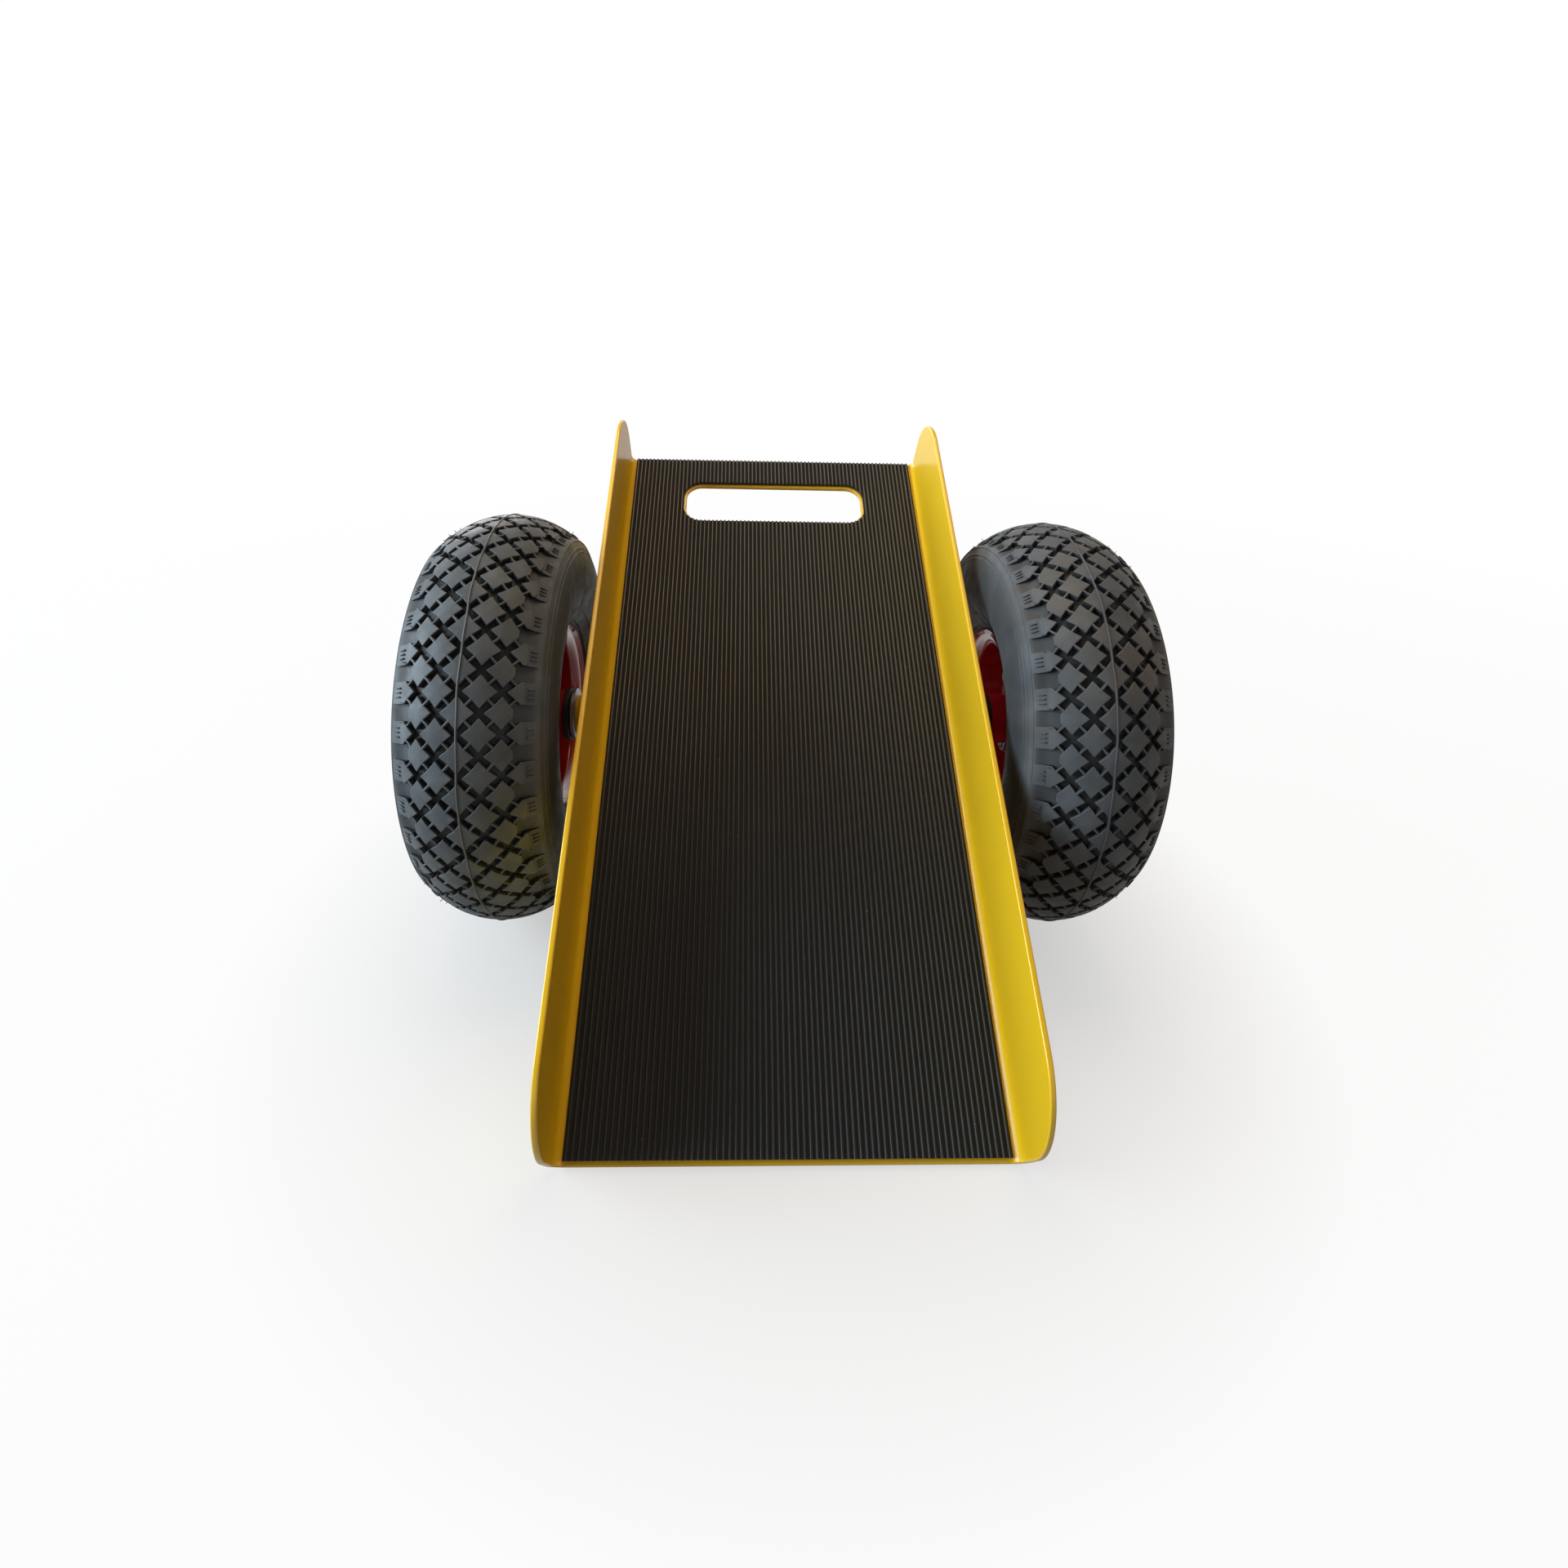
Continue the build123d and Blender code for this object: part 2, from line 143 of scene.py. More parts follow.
class DollyTray(bpy.types.PropertyGroup):
    """Folded sheet with a hand slot"""
    sheet: length("Sheet", "Thickness of the folded sheet", 3 * MM)
    bend_radius: length("Bend radius", "Inner radius of the two folds", 6.5 * MM)
    corner_radius: length("Corner radius", "Radius of the flanges' upper corners", 40 * MM)
    edge_rounding: length("Edge rounding", "Rounding of the sheet's edges by the coat", 0.8 * MM)
    slot_length: length("Slot length", "Hand slot across the tray", 134 * MM)
    slot_width: length("Slot width", "Hand slot along the tray", 36 * MM)
    slot_radius: length("Slot radius", "Corner radius of the hand slot", 12 * MM)
    coat: colour("Coat", "Powder coat of the tray", (0.90, 0.53, 0.012))


class DollyMat(bpy.types.PropertyGroup):
    """Ribbed rubber mat"""
    rib_pitch: length("Rib pitch", "From rib to rib", 3 * MM)
    groove_depth: length("Groove depth", "Depth between two ribs", 1.0 * MM)
    slot_ledge: length("Slot ledge", "Bare sheet left round the hand slot", 2 * MM)
    front_trim: length("Front trim", "How far the mat is cut back at the front", 1.6 * MM)
    rubber: colour("Rubber", "Colour of the mat", (0.008, 0.009, 0.011))
    # Brown of the ribs up the deck: partly dirt, partly a painted warm sheen
    dust_and_sheen: colour("Dust_and_sheen", "Colour of the dusty ribs up the deck", (0.036, 0.027, 0.017))


class DollyTyre(bpy.types.PropertyGroup):
    """Tyre with star-shaped blocks"""
    pitches: count("Pitches", "Blocks round the tread", 36, 8)
    row: length("Row", "From one row of blocks to the next, across the tread", 11.3 * MM)
    crown_radius: length("Crown radius", "Radius of the tread's section", 53 * MM)
    shoulder_angle: angle("Shoulder angle", "Where the tread runs out on the side wall", math.radians(45))
    widest_radius: length("Widest radius", "Distance of the widest place from the axle", 91 * MM)
    depth: length("Depth", "Depth of the pits between the blocks", 4 * MM)
    arm_root: length("Arm root", "Half width of a pit's arm at its middle", 1.5 * MM)
    arm_end: length("Arm end", "Half width of a pit's arm at its end", 2.2 * MM)
    bridge: length("Bridge", "Thickness of the rib between two blocks", 1.1 * MM)
    bridge_sag: length("Bridge sag", "How far such a rib hangs through", 0.35 * MM)
    lug: length("Lug", "Width of a shoulder lug round the tread", 13 * MM)
    lug_angle: angle("Lug angle", "Outer edge of a lug on the tread's section", math.radians(37.3))
    cut_reach: length("Cut reach", "Reach of the outermost blocks, whose tips are cut off", 5.9 * MM)
    recess_curve: number("Recess curve", "How late the floor between two lugs rises to the side wall", 2.2)
    ledge_drop: length("Ledge drop", "Step from a lug down to the ledge outside it", 1.0 * MM)
    seam_width: length("Seam width", "Width of the mould seam at its foot", 1.5 * MM)
    seam_height: length("Seam height", "Height of the mould seam over the blocks", 0.5 * MM)
    rounding: length("Rounding", "Rounding of the blocks' edges", 0.3 * MM)
    nib_length: length("Nib length", "Longest rubber nib left by the mould's vents", 2.4 * MM)
    nib_radius: length("Nib radius", "Radius of such a nib", 0.33 * MM)
    rubber: colour("Rubber", "Colour of the tyres", (0.091, 0.096, 0.103))


class DollyWheel(bpy.types.PropertyGroup):
    """Rims and fittings"""
    bolts: count("Bolts", "Bolts that hold the two rim halves", 4, 3)
    bolt_circle: length("Bolt circle", "Distance of the bolts from the axle", 33 * MM)
    flats: length("Flats", "Bolt heads and nuts, across flats", 13 * MM)
    thread: length("Thread", "Radius of the bolts' shanks", 4 * MM)
    cap_ribs: count("Cap ribs", "Ribs round a valve cap", 20, 6)
    valve_lean: angle("Valve lean", "Lean of the valve from the axle's direction", math.radians(48))
    valve_turn: angle("Valve turn", "Place of the valve round the wheel", math.radians(45))
    enamel: colour("Enamel", "Enamel of the rims", (0.52, 0.016, 0.034))
    zinc: colour("Zinc", "Plating of the fasteners", (0.30, 0.30, 0.31))
    steel: colour("Steel", "Turned steel", (0.56, 0.56, 0.57))
    brass: colour("Brass", "Valve stems", (0.60, 0.42, 0.16))
    seal: colour("Seal", "Seals, caps and tubes", (0.014, 0.014, 0.015))


class DollyStage(bpy.types.PropertyGroup):
    """Camera and light"""
    lens: number("Lens", "Focal length in mm, for a frame 36 mm wide", 19.181)
    shift_x: number("Shift X", "Sideways shift of the picture", 0.0147)
    shift_y: number("Shift Y", "Upward shift of the picture", -0.0846)
    eye: FloatVectorProperty(name="Eye", description="Camera in the tray's frame", size=3, unit="LENGTH",
                             default=(-29.52 * MM, -261.64 * MM, 464.48 * MM))
    pitch: angle("Pitch", "Down from the deck", 0.9715)
    yaw: angle("Yaw", "Turn to the side", -0.0576)
    roll: angle("Roll", "Lean of the picture", -0.0596)
    ambient: number("Ambient", "Light from all round on the object", 0.15)
    ambient_tint: colour("Ambient tint", "Colour of that light", (1.0, 0.88, 0.76))
    ceiling: colour("Ceiling", "What glossy faces show from above", (0.36, 0.29, 0.225))
    ceiling_front: number("Ceiling front", "Share of that colour over the front of the dolly", 0.4)
    horizon: angle("Horizon", "Height over the floor up to which the room is white", math.radians(20))
    zenith: angle("Zenith", "Height over the floor from which the ceiling shows", math.radians(48))
    floor_colour: colour("Floor", "Colour of the floor where it is lit", (0.55, 0.55, 0.55))
    floor_bounce: number("Floor bounce", "Share of that colour that lights the object from below", 0.45)
    floor_white: number("Floor white", "Share of plain white in the floor round the object", 0.93)
    floor_shade: number("Floor shade", "That share close under the object", 0.45)
    floor_shine: number("Floor shine", "Share of the white that glossy faces show", 0.55)


class DollySettings(bpy.types.PropertyGroup):
    """All settings of the dolly"""
    tray: PointerProperty(type=DollyTray)
    mat: PointerProperty(type=DollyMat)
    tyre: PointerProperty(type=DollyTyre)
    wheel: PointerProperty(type=DollyWheel)
    stage: PointerProperty(type=DollyStage)


# Meshes

def rounded(corners, steps):
    """Closed outline whose corners, each (x, y, radius), are rounded by arcs."""
    outline = []
    for i, (x, y, radius) in enumerate(corners):
        corner = Vector((x, y))
        if radius == 0:
            outline.append(corner)
            continue
        before = (Vector(corners[i - 1][:2]) - corner).normalized()
        after = (Vector(corners[(i + 1) % len(corners)][:2]) - corner).normalized()
        half = before.angle(after) / 2
        centre = corner + (before + after).normalized() * (radius / math.sin(half))
        start = corner + before * (radius / math.tan(half)) - centre
        end = corner + after * (radius / math.tan(half)) - centre
        first = math.atan2(start.y, start.x)
        sweep = (math.atan2(end.y, end.x) - first + math.pi) % math.tau - math.pi
        for k in range(steps + 1):
            turn = first + sweep * k / steps
            outline.append(centre + radius * Vector((math.cos(turn), math.sin(turn))))
    return outline


def to_mesh(bm, name):
    """A mesh from a bmesh, with its doubles merged and its faces turned outwards."""
    bmesh.ops.remove_doubles(bm, verts=bm.verts, dist=WELD_DISTANCE)
    bmesh.ops.recalc_face_normals(bm, faces=bm.faces)
    mesh = bpy.data.meshes.new(name)
    bm.to_mesh(mesh)
    bm.free()
    return mesh


def to_object(data, name):
    """A new object at the origin."""
    made = bpy.data.objects.new(name, data)
    bpy.context.scene.collection.objects.link(made)
    return made


def add_modifier(made, name, kind, **settings):
    """A modifier with its settings."""
    modifier = made.modifiers.new(name, kind)
    for key, value in settings.items():
        setattr(modifier, key, value)
    return modifier


def bake(made):
    """Turns an object's modifiers into a plain mesh."""
    graph = bpy.context.evaluated_depsgraph_get()
    shown = made.evaluated_get(graph)
    mesh = bpy.data.meshes.new_from_object(shown, preserve_all_data_layers=True, depsgraph=graph)
    made.modifiers.clear()
    made.data = mesh
    return made


def shade(made, degrees):
    """Smooth faces with sharp edges past an angle, and normals that follow the large faces."""
    made.data.shade_smooth()
    made.data.set_sharp_from_angle(angle=math.radians(degrees))
    add_modifier(made, "Normals", "WEIGHTED_NORMAL", keep_sharp=True)
    return bake(made)


def dress(made, material, body, slot, *nodes):
    """Gives a finished piece its material and body, and lets it stand for CAD nodes."""
    made.data.materials.clear()
    made.data.materials.append(material)
    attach(made, body)
    if nodes:
        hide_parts(*nodes)
    return made


def finish_node(node, material):
    """Gives a CAD node a material."""
    slots = frame["nodes"][node].data.materials
    slots.clear()
    slots.append(material)


def wrap(bm, loops, ring=False):
    """Skin over loops of points; a ring joins the last loop to the first, else both ends are capped."""
    rows = [[bm.verts.new(p) for p in loop] for loop in loops]
    pairs = list(zip(rows, rows[1:]))
    if ring:
        pairs.append((rows[-1], rows[0]))
    else:
        bm.faces.new(rows[0])
        bm.faces.new(rows[-1])
    for a, b in pairs:
        for i in range(len(a)):
            bm.faces.new((a[i - 1], a[i], b[i], b[i - 1]))


def circles(profile, height=0.0, steps=48):
    """Loops about a line along X at a height over the axle, from (x, r) points."""
    turns = [math.tau * i / steps for i in range(steps)]
    return [[(x, r * math.cos(t), height + r * math.sin(t)) for t in turns] for x, r in profile]


def in_mm(points):
    """Points given in millimetres."""
    return [tuple(c * MM for c in p) for p in points]


# Node trees and materials

class Nodes:
    """Adds nodes to a tree, with their inputs linked or set."""

    def __init__(self, tree):
        self.tree = tree

    def add(self, kind, inputs=None, **settings):
        """A node with its settings and inputs."""
        node = self.tree.nodes.new(kind)
        for key, value in settings.items():
            setattr(node, key, value)
        for key, value in (inputs or {}).items():
            self.put(node, key, value)
        return node

    def put(self, node, key, value):
        """Links an output to an input, or sets the input."""
        if isinstance(value, bpy.types.NodeSocket):
            self.tree.links.new(value, node.inputs[key])
        else:
            node.inputs[key].default_value = value

    def calc(self, operation, first, second):
        """A number worked out from two others."""
        return self.add("ShaderNodeMath", {0: first, 1: second}, operation=operation).outputs[0]

    def remap(self, value, low, high, start=0.3, end=0.7):
        """A number that runs from low to high while another runs from start to end."""
        inputs = {"Value": value, "From Min": start, "From Max": end, "To Min": low, "To Max": high}
        return self.add("ShaderNodeMapRange", inputs).outputs[0]

    def mix(self, factor, first, second):
        """One colour over another."""
        return self.add("ShaderNodeMix", {0: factor, 6: first, 7: second}, data_type="RGBA").outputs[2]


class Finish(Nodes):
    """A procedural material on object coordinates, built node by node."""

    def __init__(self, name):
        self.material = bpy.data.materials.new(name)
        self.material.use_nodes = True
        super().__init__(self.material.node_tree)
        self.shader = self.tree.nodes["Principled BSDF"]
        self.place = self.add("ShaderNodeTexCoord").outputs["Object"]

    def set(self, **inputs):
        """Constants and links of the shader, with spaces written as underscores."""
        for key, value in inputs.items():
            self.put(self.shader, key.replace("_", " "), value)

    def stretched(self, scale, turn=0.0):
        """Object coordinates turned about X and stretched."""
        inputs = {"Vector": self.place, "Scale": scale, "Rotation": (turn, 0, 0)}
        return self.add("ShaderNodeMapping", inputs, vector_type="TEXTURE").outputs[0]

    def noise(self, scale, detail=4.0, vector=None):
        """Fractal noise; its scale is per metre."""
        inputs = {"Vector": vector or self.place, "Scale": scale, "Detail": detail}
        return self.add("ShaderNodeTexNoise", inputs).outputs[0]

    def ramp(self, factor, *stops):
        """Colours by a factor; each stop is (position, colour)."""
        node = self.add("ShaderNodeValToRGB", {"Fac": factor})
        for i, (position, paint) in enumerate(stops):
            stop = node.color_ramp.elements[i] if i < 2 else node.color_ramp.elements.new(position)
            stop.position = position
            stop.color = (*paint, 1)
        return node.outputs["Color"]

    def shades(self, factor, base, dark, light, end=0.7):
        """A colour from a darker to a lighter shade, by a factor."""
        return self.ramp(factor, (0.3, tone(base, dark)), (end, tone(base, light)))

    def attribute(self, name):
        """A number kept on the mesh."""
        return self.add("ShaderNodeAttribute", attribute_name=name).outputs["Fac"]

    def bump(self, height, distance, strength):
        """Small relief; its distance is in metres."""
        inputs = {"Height": height, "Distance": distance, "Strength": strength}
        return self.add("ShaderNodeBump", inputs).outputs[0]


def tone(base, factor):
    """A colour made lighter or darker."""
    return tuple(min(1.0, c * factor) for c in base)


def powder_coat(base):
    """Gloss powder coat, a little cloudy, with a fine orange peel."""
    f = Finish("Powder coat")
    f.set(Base_Color=f.shades(f.noise(14, 3), base, 0.97, 1.03), Roughness=f.remap(f.noise(40), 0.29, 0.33),
          Coat_Weight=0.25, Coat_Roughness=0.12, Normal=f.bump(f.noise(620, 2), 0.01 * MM, 0.4))
    return f.material


def enamel(base):
    """Deep gloss enamel of the rims."""
    f = Finish("Red enamel")
    f.set(Base_Color=f.shades(f.noise(30, 3), base, 0.85, 1.12), Roughness=f.remap(f.noise(60), 0.14, 0.22),
          Coat_Weight=0.8, Coat_Roughness=0.04, Normal=f.bump(f.noise(260, 2), 0.04 * MM, 0.5))
    return f.material


def mat_rubber(base, dust_and_sheen):
    """Ribbed mat: black with faint streaks along the ribs, brown up the deck from dirt and a painted warm sheen,
    painted shade down in the grooves and a few pale specks.
    """
    sheen_and_dust_start, sheen_and_dust_full = -0.09, 0.03
    speck_core, speck_rim = 0.015, 0.035
    pale = (0.16, 0.15, 0.14, 1)
    groove_shade_black = (0.002, 0.002, 0.002, 1)
    f = Finish("Mat rubber")
    streak = f.noise(260, 3, f.stretched((1, 9, 1), TILT))
    clean = f.shades(streak, base, 0.7, 1.7, 0.72)
    dusty_sheened = f.shades(streak, dust_and_sheen, 0.7, 1.5, 0.72)
    # Painted warm sheen with some dirt: the colour turns from clean to brown up the deck
    along = f.add("ShaderNodeSeparateXYZ", {0: f.place}).outputs["Y"]
    shades = f.mix(f.remap(along, 0.0, 1.0, sheen_and_dust_start, sheen_and_dust_full), clean, dusty_sheened)
    cell = f.add("ShaderNodeTexVoronoi", {"Vector": f.place, "Scale": 70.0}).outputs["Distance"]
    shades = f.mix(f.remap(cell, 1.0, 0.0, speck_core, speck_rim), shades, pale)
    # Painted shade: the grooves between the ribs are darkened towards black by their depth
    groove_shade = f.attribute("groove_shade")
    shades = f.mix(groove_shade, shades, groove_shade_black)
    f.set(Base_Color=shades, Roughness=f.remap(groove_shade, 0.3, 0.9, 0.0, 1.0), Specular_IOR_Level=0.5,
          Normal=f.bump(f.noise(1500, 3), 0.06 * MM, 0.5))
    return f.material


def tyre_rubber(base):
    """Moulded tyre rubber, browned by dirt at random in places, with painted shade in the pits, on the lug walls,
    in the recesses and down the side walls.
    """
    brown = (base[0] * 1.25, base[1] * 0.95, base[2] * 0.72, 1)
    f = Finish("Tyre rubber")
    shades = f.ramp(f.noise(55, 6), (0.28, tone(base, 0.72)), (0.52, base), (0.78, tone(base, 1.45)))
    shades = f.mix(f.remap(f.noise(16, 3), 0.0, 0.6, 0.48, 0.66), shades, brown)
    # Painted shade: the colour darkens towards near black by the shade attribute
    shades = f.mix(f.attribute("tread_shade"), shades, (*tone(base, 0.16), 1))
    f.set(Base_Color=shades, Roughness=f.remap(f.noise(130, 5), 0.46, 0.66), Specular_IOR_Level=0.28,
          Normal=f.bump(f.noise(900, 4), 0.06 * MM, 0.7))
    return f.material


def soft_black(name, base, rough):
    """Plain black rubber or plastic with a moulded grain."""
    f = Finish(name)
    f.set(Base_Color=f.shades(f.noise(70, 4), base, 0.75, 1.5), Specular_IOR_Level=0.4,
          Roughness=f.remap(f.noise(200), rough, rough + 0.15),
          Normal=f.bump(f.noise(1100, 3), 0.05 * MM, 0.6))
    return f.material


def bare_metal(name, base, rough, stretch):
    """Plated or turned metal with fine marks that run one way."""
    f = Finish(name)
    marks = f.noise(420, 3, f.stretched(stretch))
    f.set(Base_Color=f.shades(f.noise(60, 4), base, 0.82, 1.1), Metallic=1.0,
          Roughness=f.remap(marks, rough, rough + 0.16), Normal=f.bump(marks, 0.02 * MM, 0.5))
    return f.material


# Geometry Nodes

COPY_SEED = 7


def new_tree(name, **inputs):
    """An empty node tree with named inputs, and the outputs of its first node."""
    tree = bpy.data.node_groups.new(name, "GeometryNodeTree")
    for socket, kind in inputs.items():
        tree.interface.new_socket(socket, in_out="INPUT", socket_type="NodeSocket" + kind)
    tree.interface.new_socket("Result", in_out="OUTPUT", socket_type="NodeSocketGeometry")
    nodes = Nodes(tree)
    return nodes, nodes.add("NodeGroupInput").outputs


def end_tree(nodes, geometry, material):
    """Last nodes of a tree: the material and the output."""
    cover = nodes.add("GeometryNodeSetMaterial", {"Geometry": geometry, "Material": material})
    nodes.add("NodeGroupOutput", {0: cover.outputs[0]})
    return nodes.tree


def ring_tree(name):
    """Node tree that sets copies of a piece evenly round the X axis and welds them."""
    nodes, given = new_tree(name, Piece="Geometry", Copies="Int", Weld="Float", Finish="Material")
    step = nodes.calc("DIVIDE", math.tau, given["Copies"])
    turn = nodes.calc("MULTIPLY", step, nodes.add("GeometryNodeInputIndex").outputs[0])
    about_x = nodes.add("ShaderNodeCombineXYZ", {"X": turn})
    rotation = nodes.add("FunctionNodeEulerToRotation", {0: about_x.outputs[0]})
    points = nodes.add("GeometryNodeMeshLine", {"Count": given["Copies"], "Offset": (0, 0, 0)})
    placed = {"Points": points.outputs[0], "Instance": given["Piece"], "Rotation": rotation.outputs[0]}
    copies = nodes.add("GeometryNodeInstanceOnPoints", placed)
    real = nodes.add("GeometryNodeRealizeInstances", {0: copies.outputs[0]})
    weld = nodes.add("GeometryNodeMergeByDistance", {"Geometry": real.outputs[0], "Distance": given["Weld"]})
    return end_tree(nodes, weld.outputs[0], given["Finish"])


def scatter_tree(name):
    """Node tree that sets a piece on points, turned along an attribute, with sizes drawn by a fixed seed."""
    nodes, given = new_tree(name, Points="Geometry", Piece="Object", Smallest="Float", Seed="Int",
                            Finish="Material")
    outward = nodes.add("GeometryNodeInputNamedAttribute", {"Name": "outward"}, data_type="FLOAT_VECTOR")
    turned = nodes.add("FunctionNodeAlignRotationToVector", {"Vector": outward.outputs[0]}, axis="Z")
    size = nodes.add("FunctionNodeRandomValue", {2: given["Smallest"], 3: 1.0, "Seed": given["Seed"]},
                     data_type="FLOAT")
    piece = nodes.add("GeometryNodeObjectInfo", {"Object": given["Piece"]})
    placed = {"Points": given["Points"], "Instance": piece.outputs["Geometry"],
              "Rotation": turned.outputs[0], "Scale": size.outputs[1]}
    copies = nodes.add("GeometryNodeInstanceOnPoints", placed)
    real = nodes.add("GeometryNodeRealizeInstances", {0: copies.outputs[0]})
    return end_tree(nodes, real.outputs[0], given["Finish"])


def grown(made, name, build, **values):
    """An object after a node tree, which is built at its first use, has run on it with its inputs set."""
    tree = bpy.data.node_groups.get(name) or build(name)
    modifier = add_modifier(made, name, "NODES", node_group=tree)
    for item in tree.interface.items_tree:
        if item.in_out == "INPUT" and item.name in values:
            modifier[item.identifier] = values[item.name]
    return bake(made)


def ring_of(mesh, name, copies, material):
    """An object made of copies of a mesh round the X axis."""
    made = to_object(mesh, name)
    return grown(made, "Ring of copies", ring_tree, Copies=copies, Weld=WELD_DISTANCE, Finish=material)


def scattered(points, mesh, name, smallest, material):
    """An object made of copies of a mesh on points, each given as a place and an outward direction."""
    carrier = bpy.data.meshes.new(name)
    carrier.from_pydata([place for place, direction in points], [], [])
    outward = carrier.attributes.new("outward", "FLOAT_VECTOR", "POINT")
    for item, (place, direction) in zip(outward.data, points):
        item.vector = direction
    made = to_object(carrier, name)
    piece = to_object(mesh, name + "_one")
    grown(made, "Copies on points", scatter_tree, Piece=piece, Smallest=smallest, Seed=COPY_SEED,
          Finish=material)
    bpy.data.objects.remove(piece)
    return made


# Tray and mat

BEND_STEPS = 14
CORNER_STEPS = 24
SLOT_STEPS = 10
# Half of a rib's section: share of the pitch, share of the groove's depth
HALF_RIB = ((0.0, 0.0), (0.2, 0.04), (0.28, 0.45), (0.35, 0.85), (0.42, 0.97))
# How fast the painted shade in a groove deepens with its depth
GROOVE_SHADE_RATE = 1.5


def add_loop(bm, points):
    """A closed loop of edges."""
    verts = [bm.verts.new(p) for p in points]
    return [bm.edges.new(pair) for pair in zip(verts, verts[1:] + verts[:1])]


def slot_centre():
    """Middle of the hand slot in the tray's frame."""
    return TRAY.inverted() @ Vector(mount("hand_slot")["pos_m"])


def slot_outline(across, along, radius):
    """Rounded rectangle of the hand slot in the tray's frame."""
    middle = slot_centre().y
    signs = ((1, 1), (-1, 1), (-1, -1), (1, -1))
    return rounded([(sx * across / 2, middle + sy * along / 2, radius) for sx, sy in signs], SLOT_STEPS)


def tray_mesh(s):
    """Upper and inner faces of the folded sheet; its thickness comes after."""
    low, high = extent("tray", TRAY)
    deck = low.z + s.sheet
    wall = high.x - s.sheet
    flat = wall - s.bend_radius
    bend_top = deck + s.bend_radius
    bm = bmesh.new()
    edge = [(-flat, low.y, deck), (flat, low.y, deck), (flat, high.y, deck), (-flat, high.y, deck)]
    slot = slot_outline(s.slot_length, s.slot_width, s.slot_radius)
    edges = add_loop(bm, edge) + add_loop(bm, [(p.x, p.y, deck) for p in slot])
    bmesh.ops.triangle_fill(bm, edges=edges, use_beauty=True)
    for side in SIDES.values():
        rows = []
        for k in range(BEND_STEPS + 1):
            turn = math.pi / 2 * k / BEND_STEPS
            x = side * (flat + s.bend_radius * math.sin(turn))
            z = deck + s.bend_radius * (1 - math.cos(turn))
            rows.append([bm.verts.new((x, y, z)) for y in (low.y, high.y)])
        for a, b in zip(rows, rows[1:]):
            bm.faces.new((a[0], a[1], b[1], b[0]))
        corners = [(low.y, bend_top, 0), (high.y, bend_top, 0)]
        corners += [(high.y, high.z, s.corner_radius), (low.y, high.z, s.corner_radius)]
        bm.faces.new([bm.verts.new((side * wall, p.x, p.y)) for p in rounded(corners, CORNER_STEPS)])
    mesh = to_mesh(bm, "tray_sheet")
    if mesh.polygons[0].normal.z < 0:
        mesh.flip_normals()
    return mesh


def mat_section(s):
    """Height of the mat across the ribs, as (x, height) stations over its whole width."""
    low, high = extent("ribbed_mat", TRAY)
    shape = HALF_RIB + ((0.5, 1.0),) + tuple((1 - share, rise) for share, rise in reversed(HALF_RIB[1:]))
    stations = []
    for i in range(round((high.x - low.x) / s.rib_pitch)):
        for share, rise in shape:
            stations.append((low.x + (i + share) * s.rib_pitch, high.z - s.groove_depth * (1 - rise)))
    stations.append((high.x, high.z - s.groove_depth))
    return stations


def mat_mesh(s, tray):
    """Ribbed mat as one closed skin, with the ribs cut off square round the hand slot."""
    low, high = extent("ribbed_mat", TRAY)
    middle = slot_centre().y
    radius = tray.slot_radius + s.slot_ledge
    side = tray.slot_length / 2 + s.slot_ledge
    straight = side - radius
    half = tray.slot_width / 2 + s.slot_ledge

    def reach(x):
        """Half the length of the cut-out at a place across the mat."""
        over = min(max(abs(x) - straight, 0), radius)
        return half - radius + math.sqrt(radius ** 2 - over ** 2)

    bm = bmesh.new()
    groove_shade = bm.verts.layers.float.new("groove_shade")
    columns = []
    for x, z in mat_section(s):
        rows = (low.y + s.front_trim, middle - reach(x), middle + reach(x), high.y)
        columns.append((x, [(bm.verts.new((x, y, z)), bm.verts.new((x, y, low.z))) for y in rows]))
        for top, bottom in columns[-1][1]:
            # Painted shade in the grooves, stronger the deeper a point lies
            top[groove_shade] = min(GROOVE_SHADE_RATE * (high.z - z) / s.groove_depth, 1)
    for (x0, a), (x1, b) in zip(columns, columns[1:]):
        solid = abs(x0 + x1) / 2 > side
        for row in (0, 1, 2):
            if row == 1 and not solid:
                continue
            bm.faces.new((a[row][0], b[row][0], b[row + 1][0], a[row + 1][0]))
            bm.faces.new((a[row][1], a[row + 1][1], b[row + 1][1], b[row][1]))
    partner = {top: bottom for x, rows in columns for top, bottom in rows}
    for edge in [e for e in bm.edges if e.is_boundary and e.verts[0] in partner]:
        a, b = edge.verts
        bm.faces.new((a, b, partner[b], partner[a]))
    return to_mesh(bm, "mat_ribs")


# Tyres

BEAD_LIP = (27.9 * MM, 57.9 * MM)
SHOULDER_EASE = 4 * MM
WALL_STEPS = 18
RECESS_STEPS = 3
# Raised rings of the side wall: arc length from the seam, width and height in mm, then their section
WALL_RINGS = ((42.8, 1.2, 0.55), (47.8, 1.6, 0.5), (50.6, 1.2, 0.45), (88.0, 1.2, 0.4), (96.0, 2.4, 0.7))
RING_SHAPE = ((-0.5, 0), (-0.28, 1), (0.28, 1), (0.5, 0))
# Points (x, r) in mm round the bead and up through the cavity to the crown
BEAD = ((27.9, 55.9), (26.4, 52.4), (22.9, 50.9), (19.5, 50.9), (18.0, 52.4), (18.0, 60.9))
CAVITY = ((30.7, 71.8), (38.5, 91.0), (35.8, 103.5), (30.4, 107.4), (16.5, 116.7), (0.0, 120.0))
# Unevenness of the mould seam: size in mm, waves round the tyre and their start
SEAM_WAVES = ((0.30, 5, 0), (0.22, 13, 1), (0.12, 31, 2))
SEAM_STEPS = 8


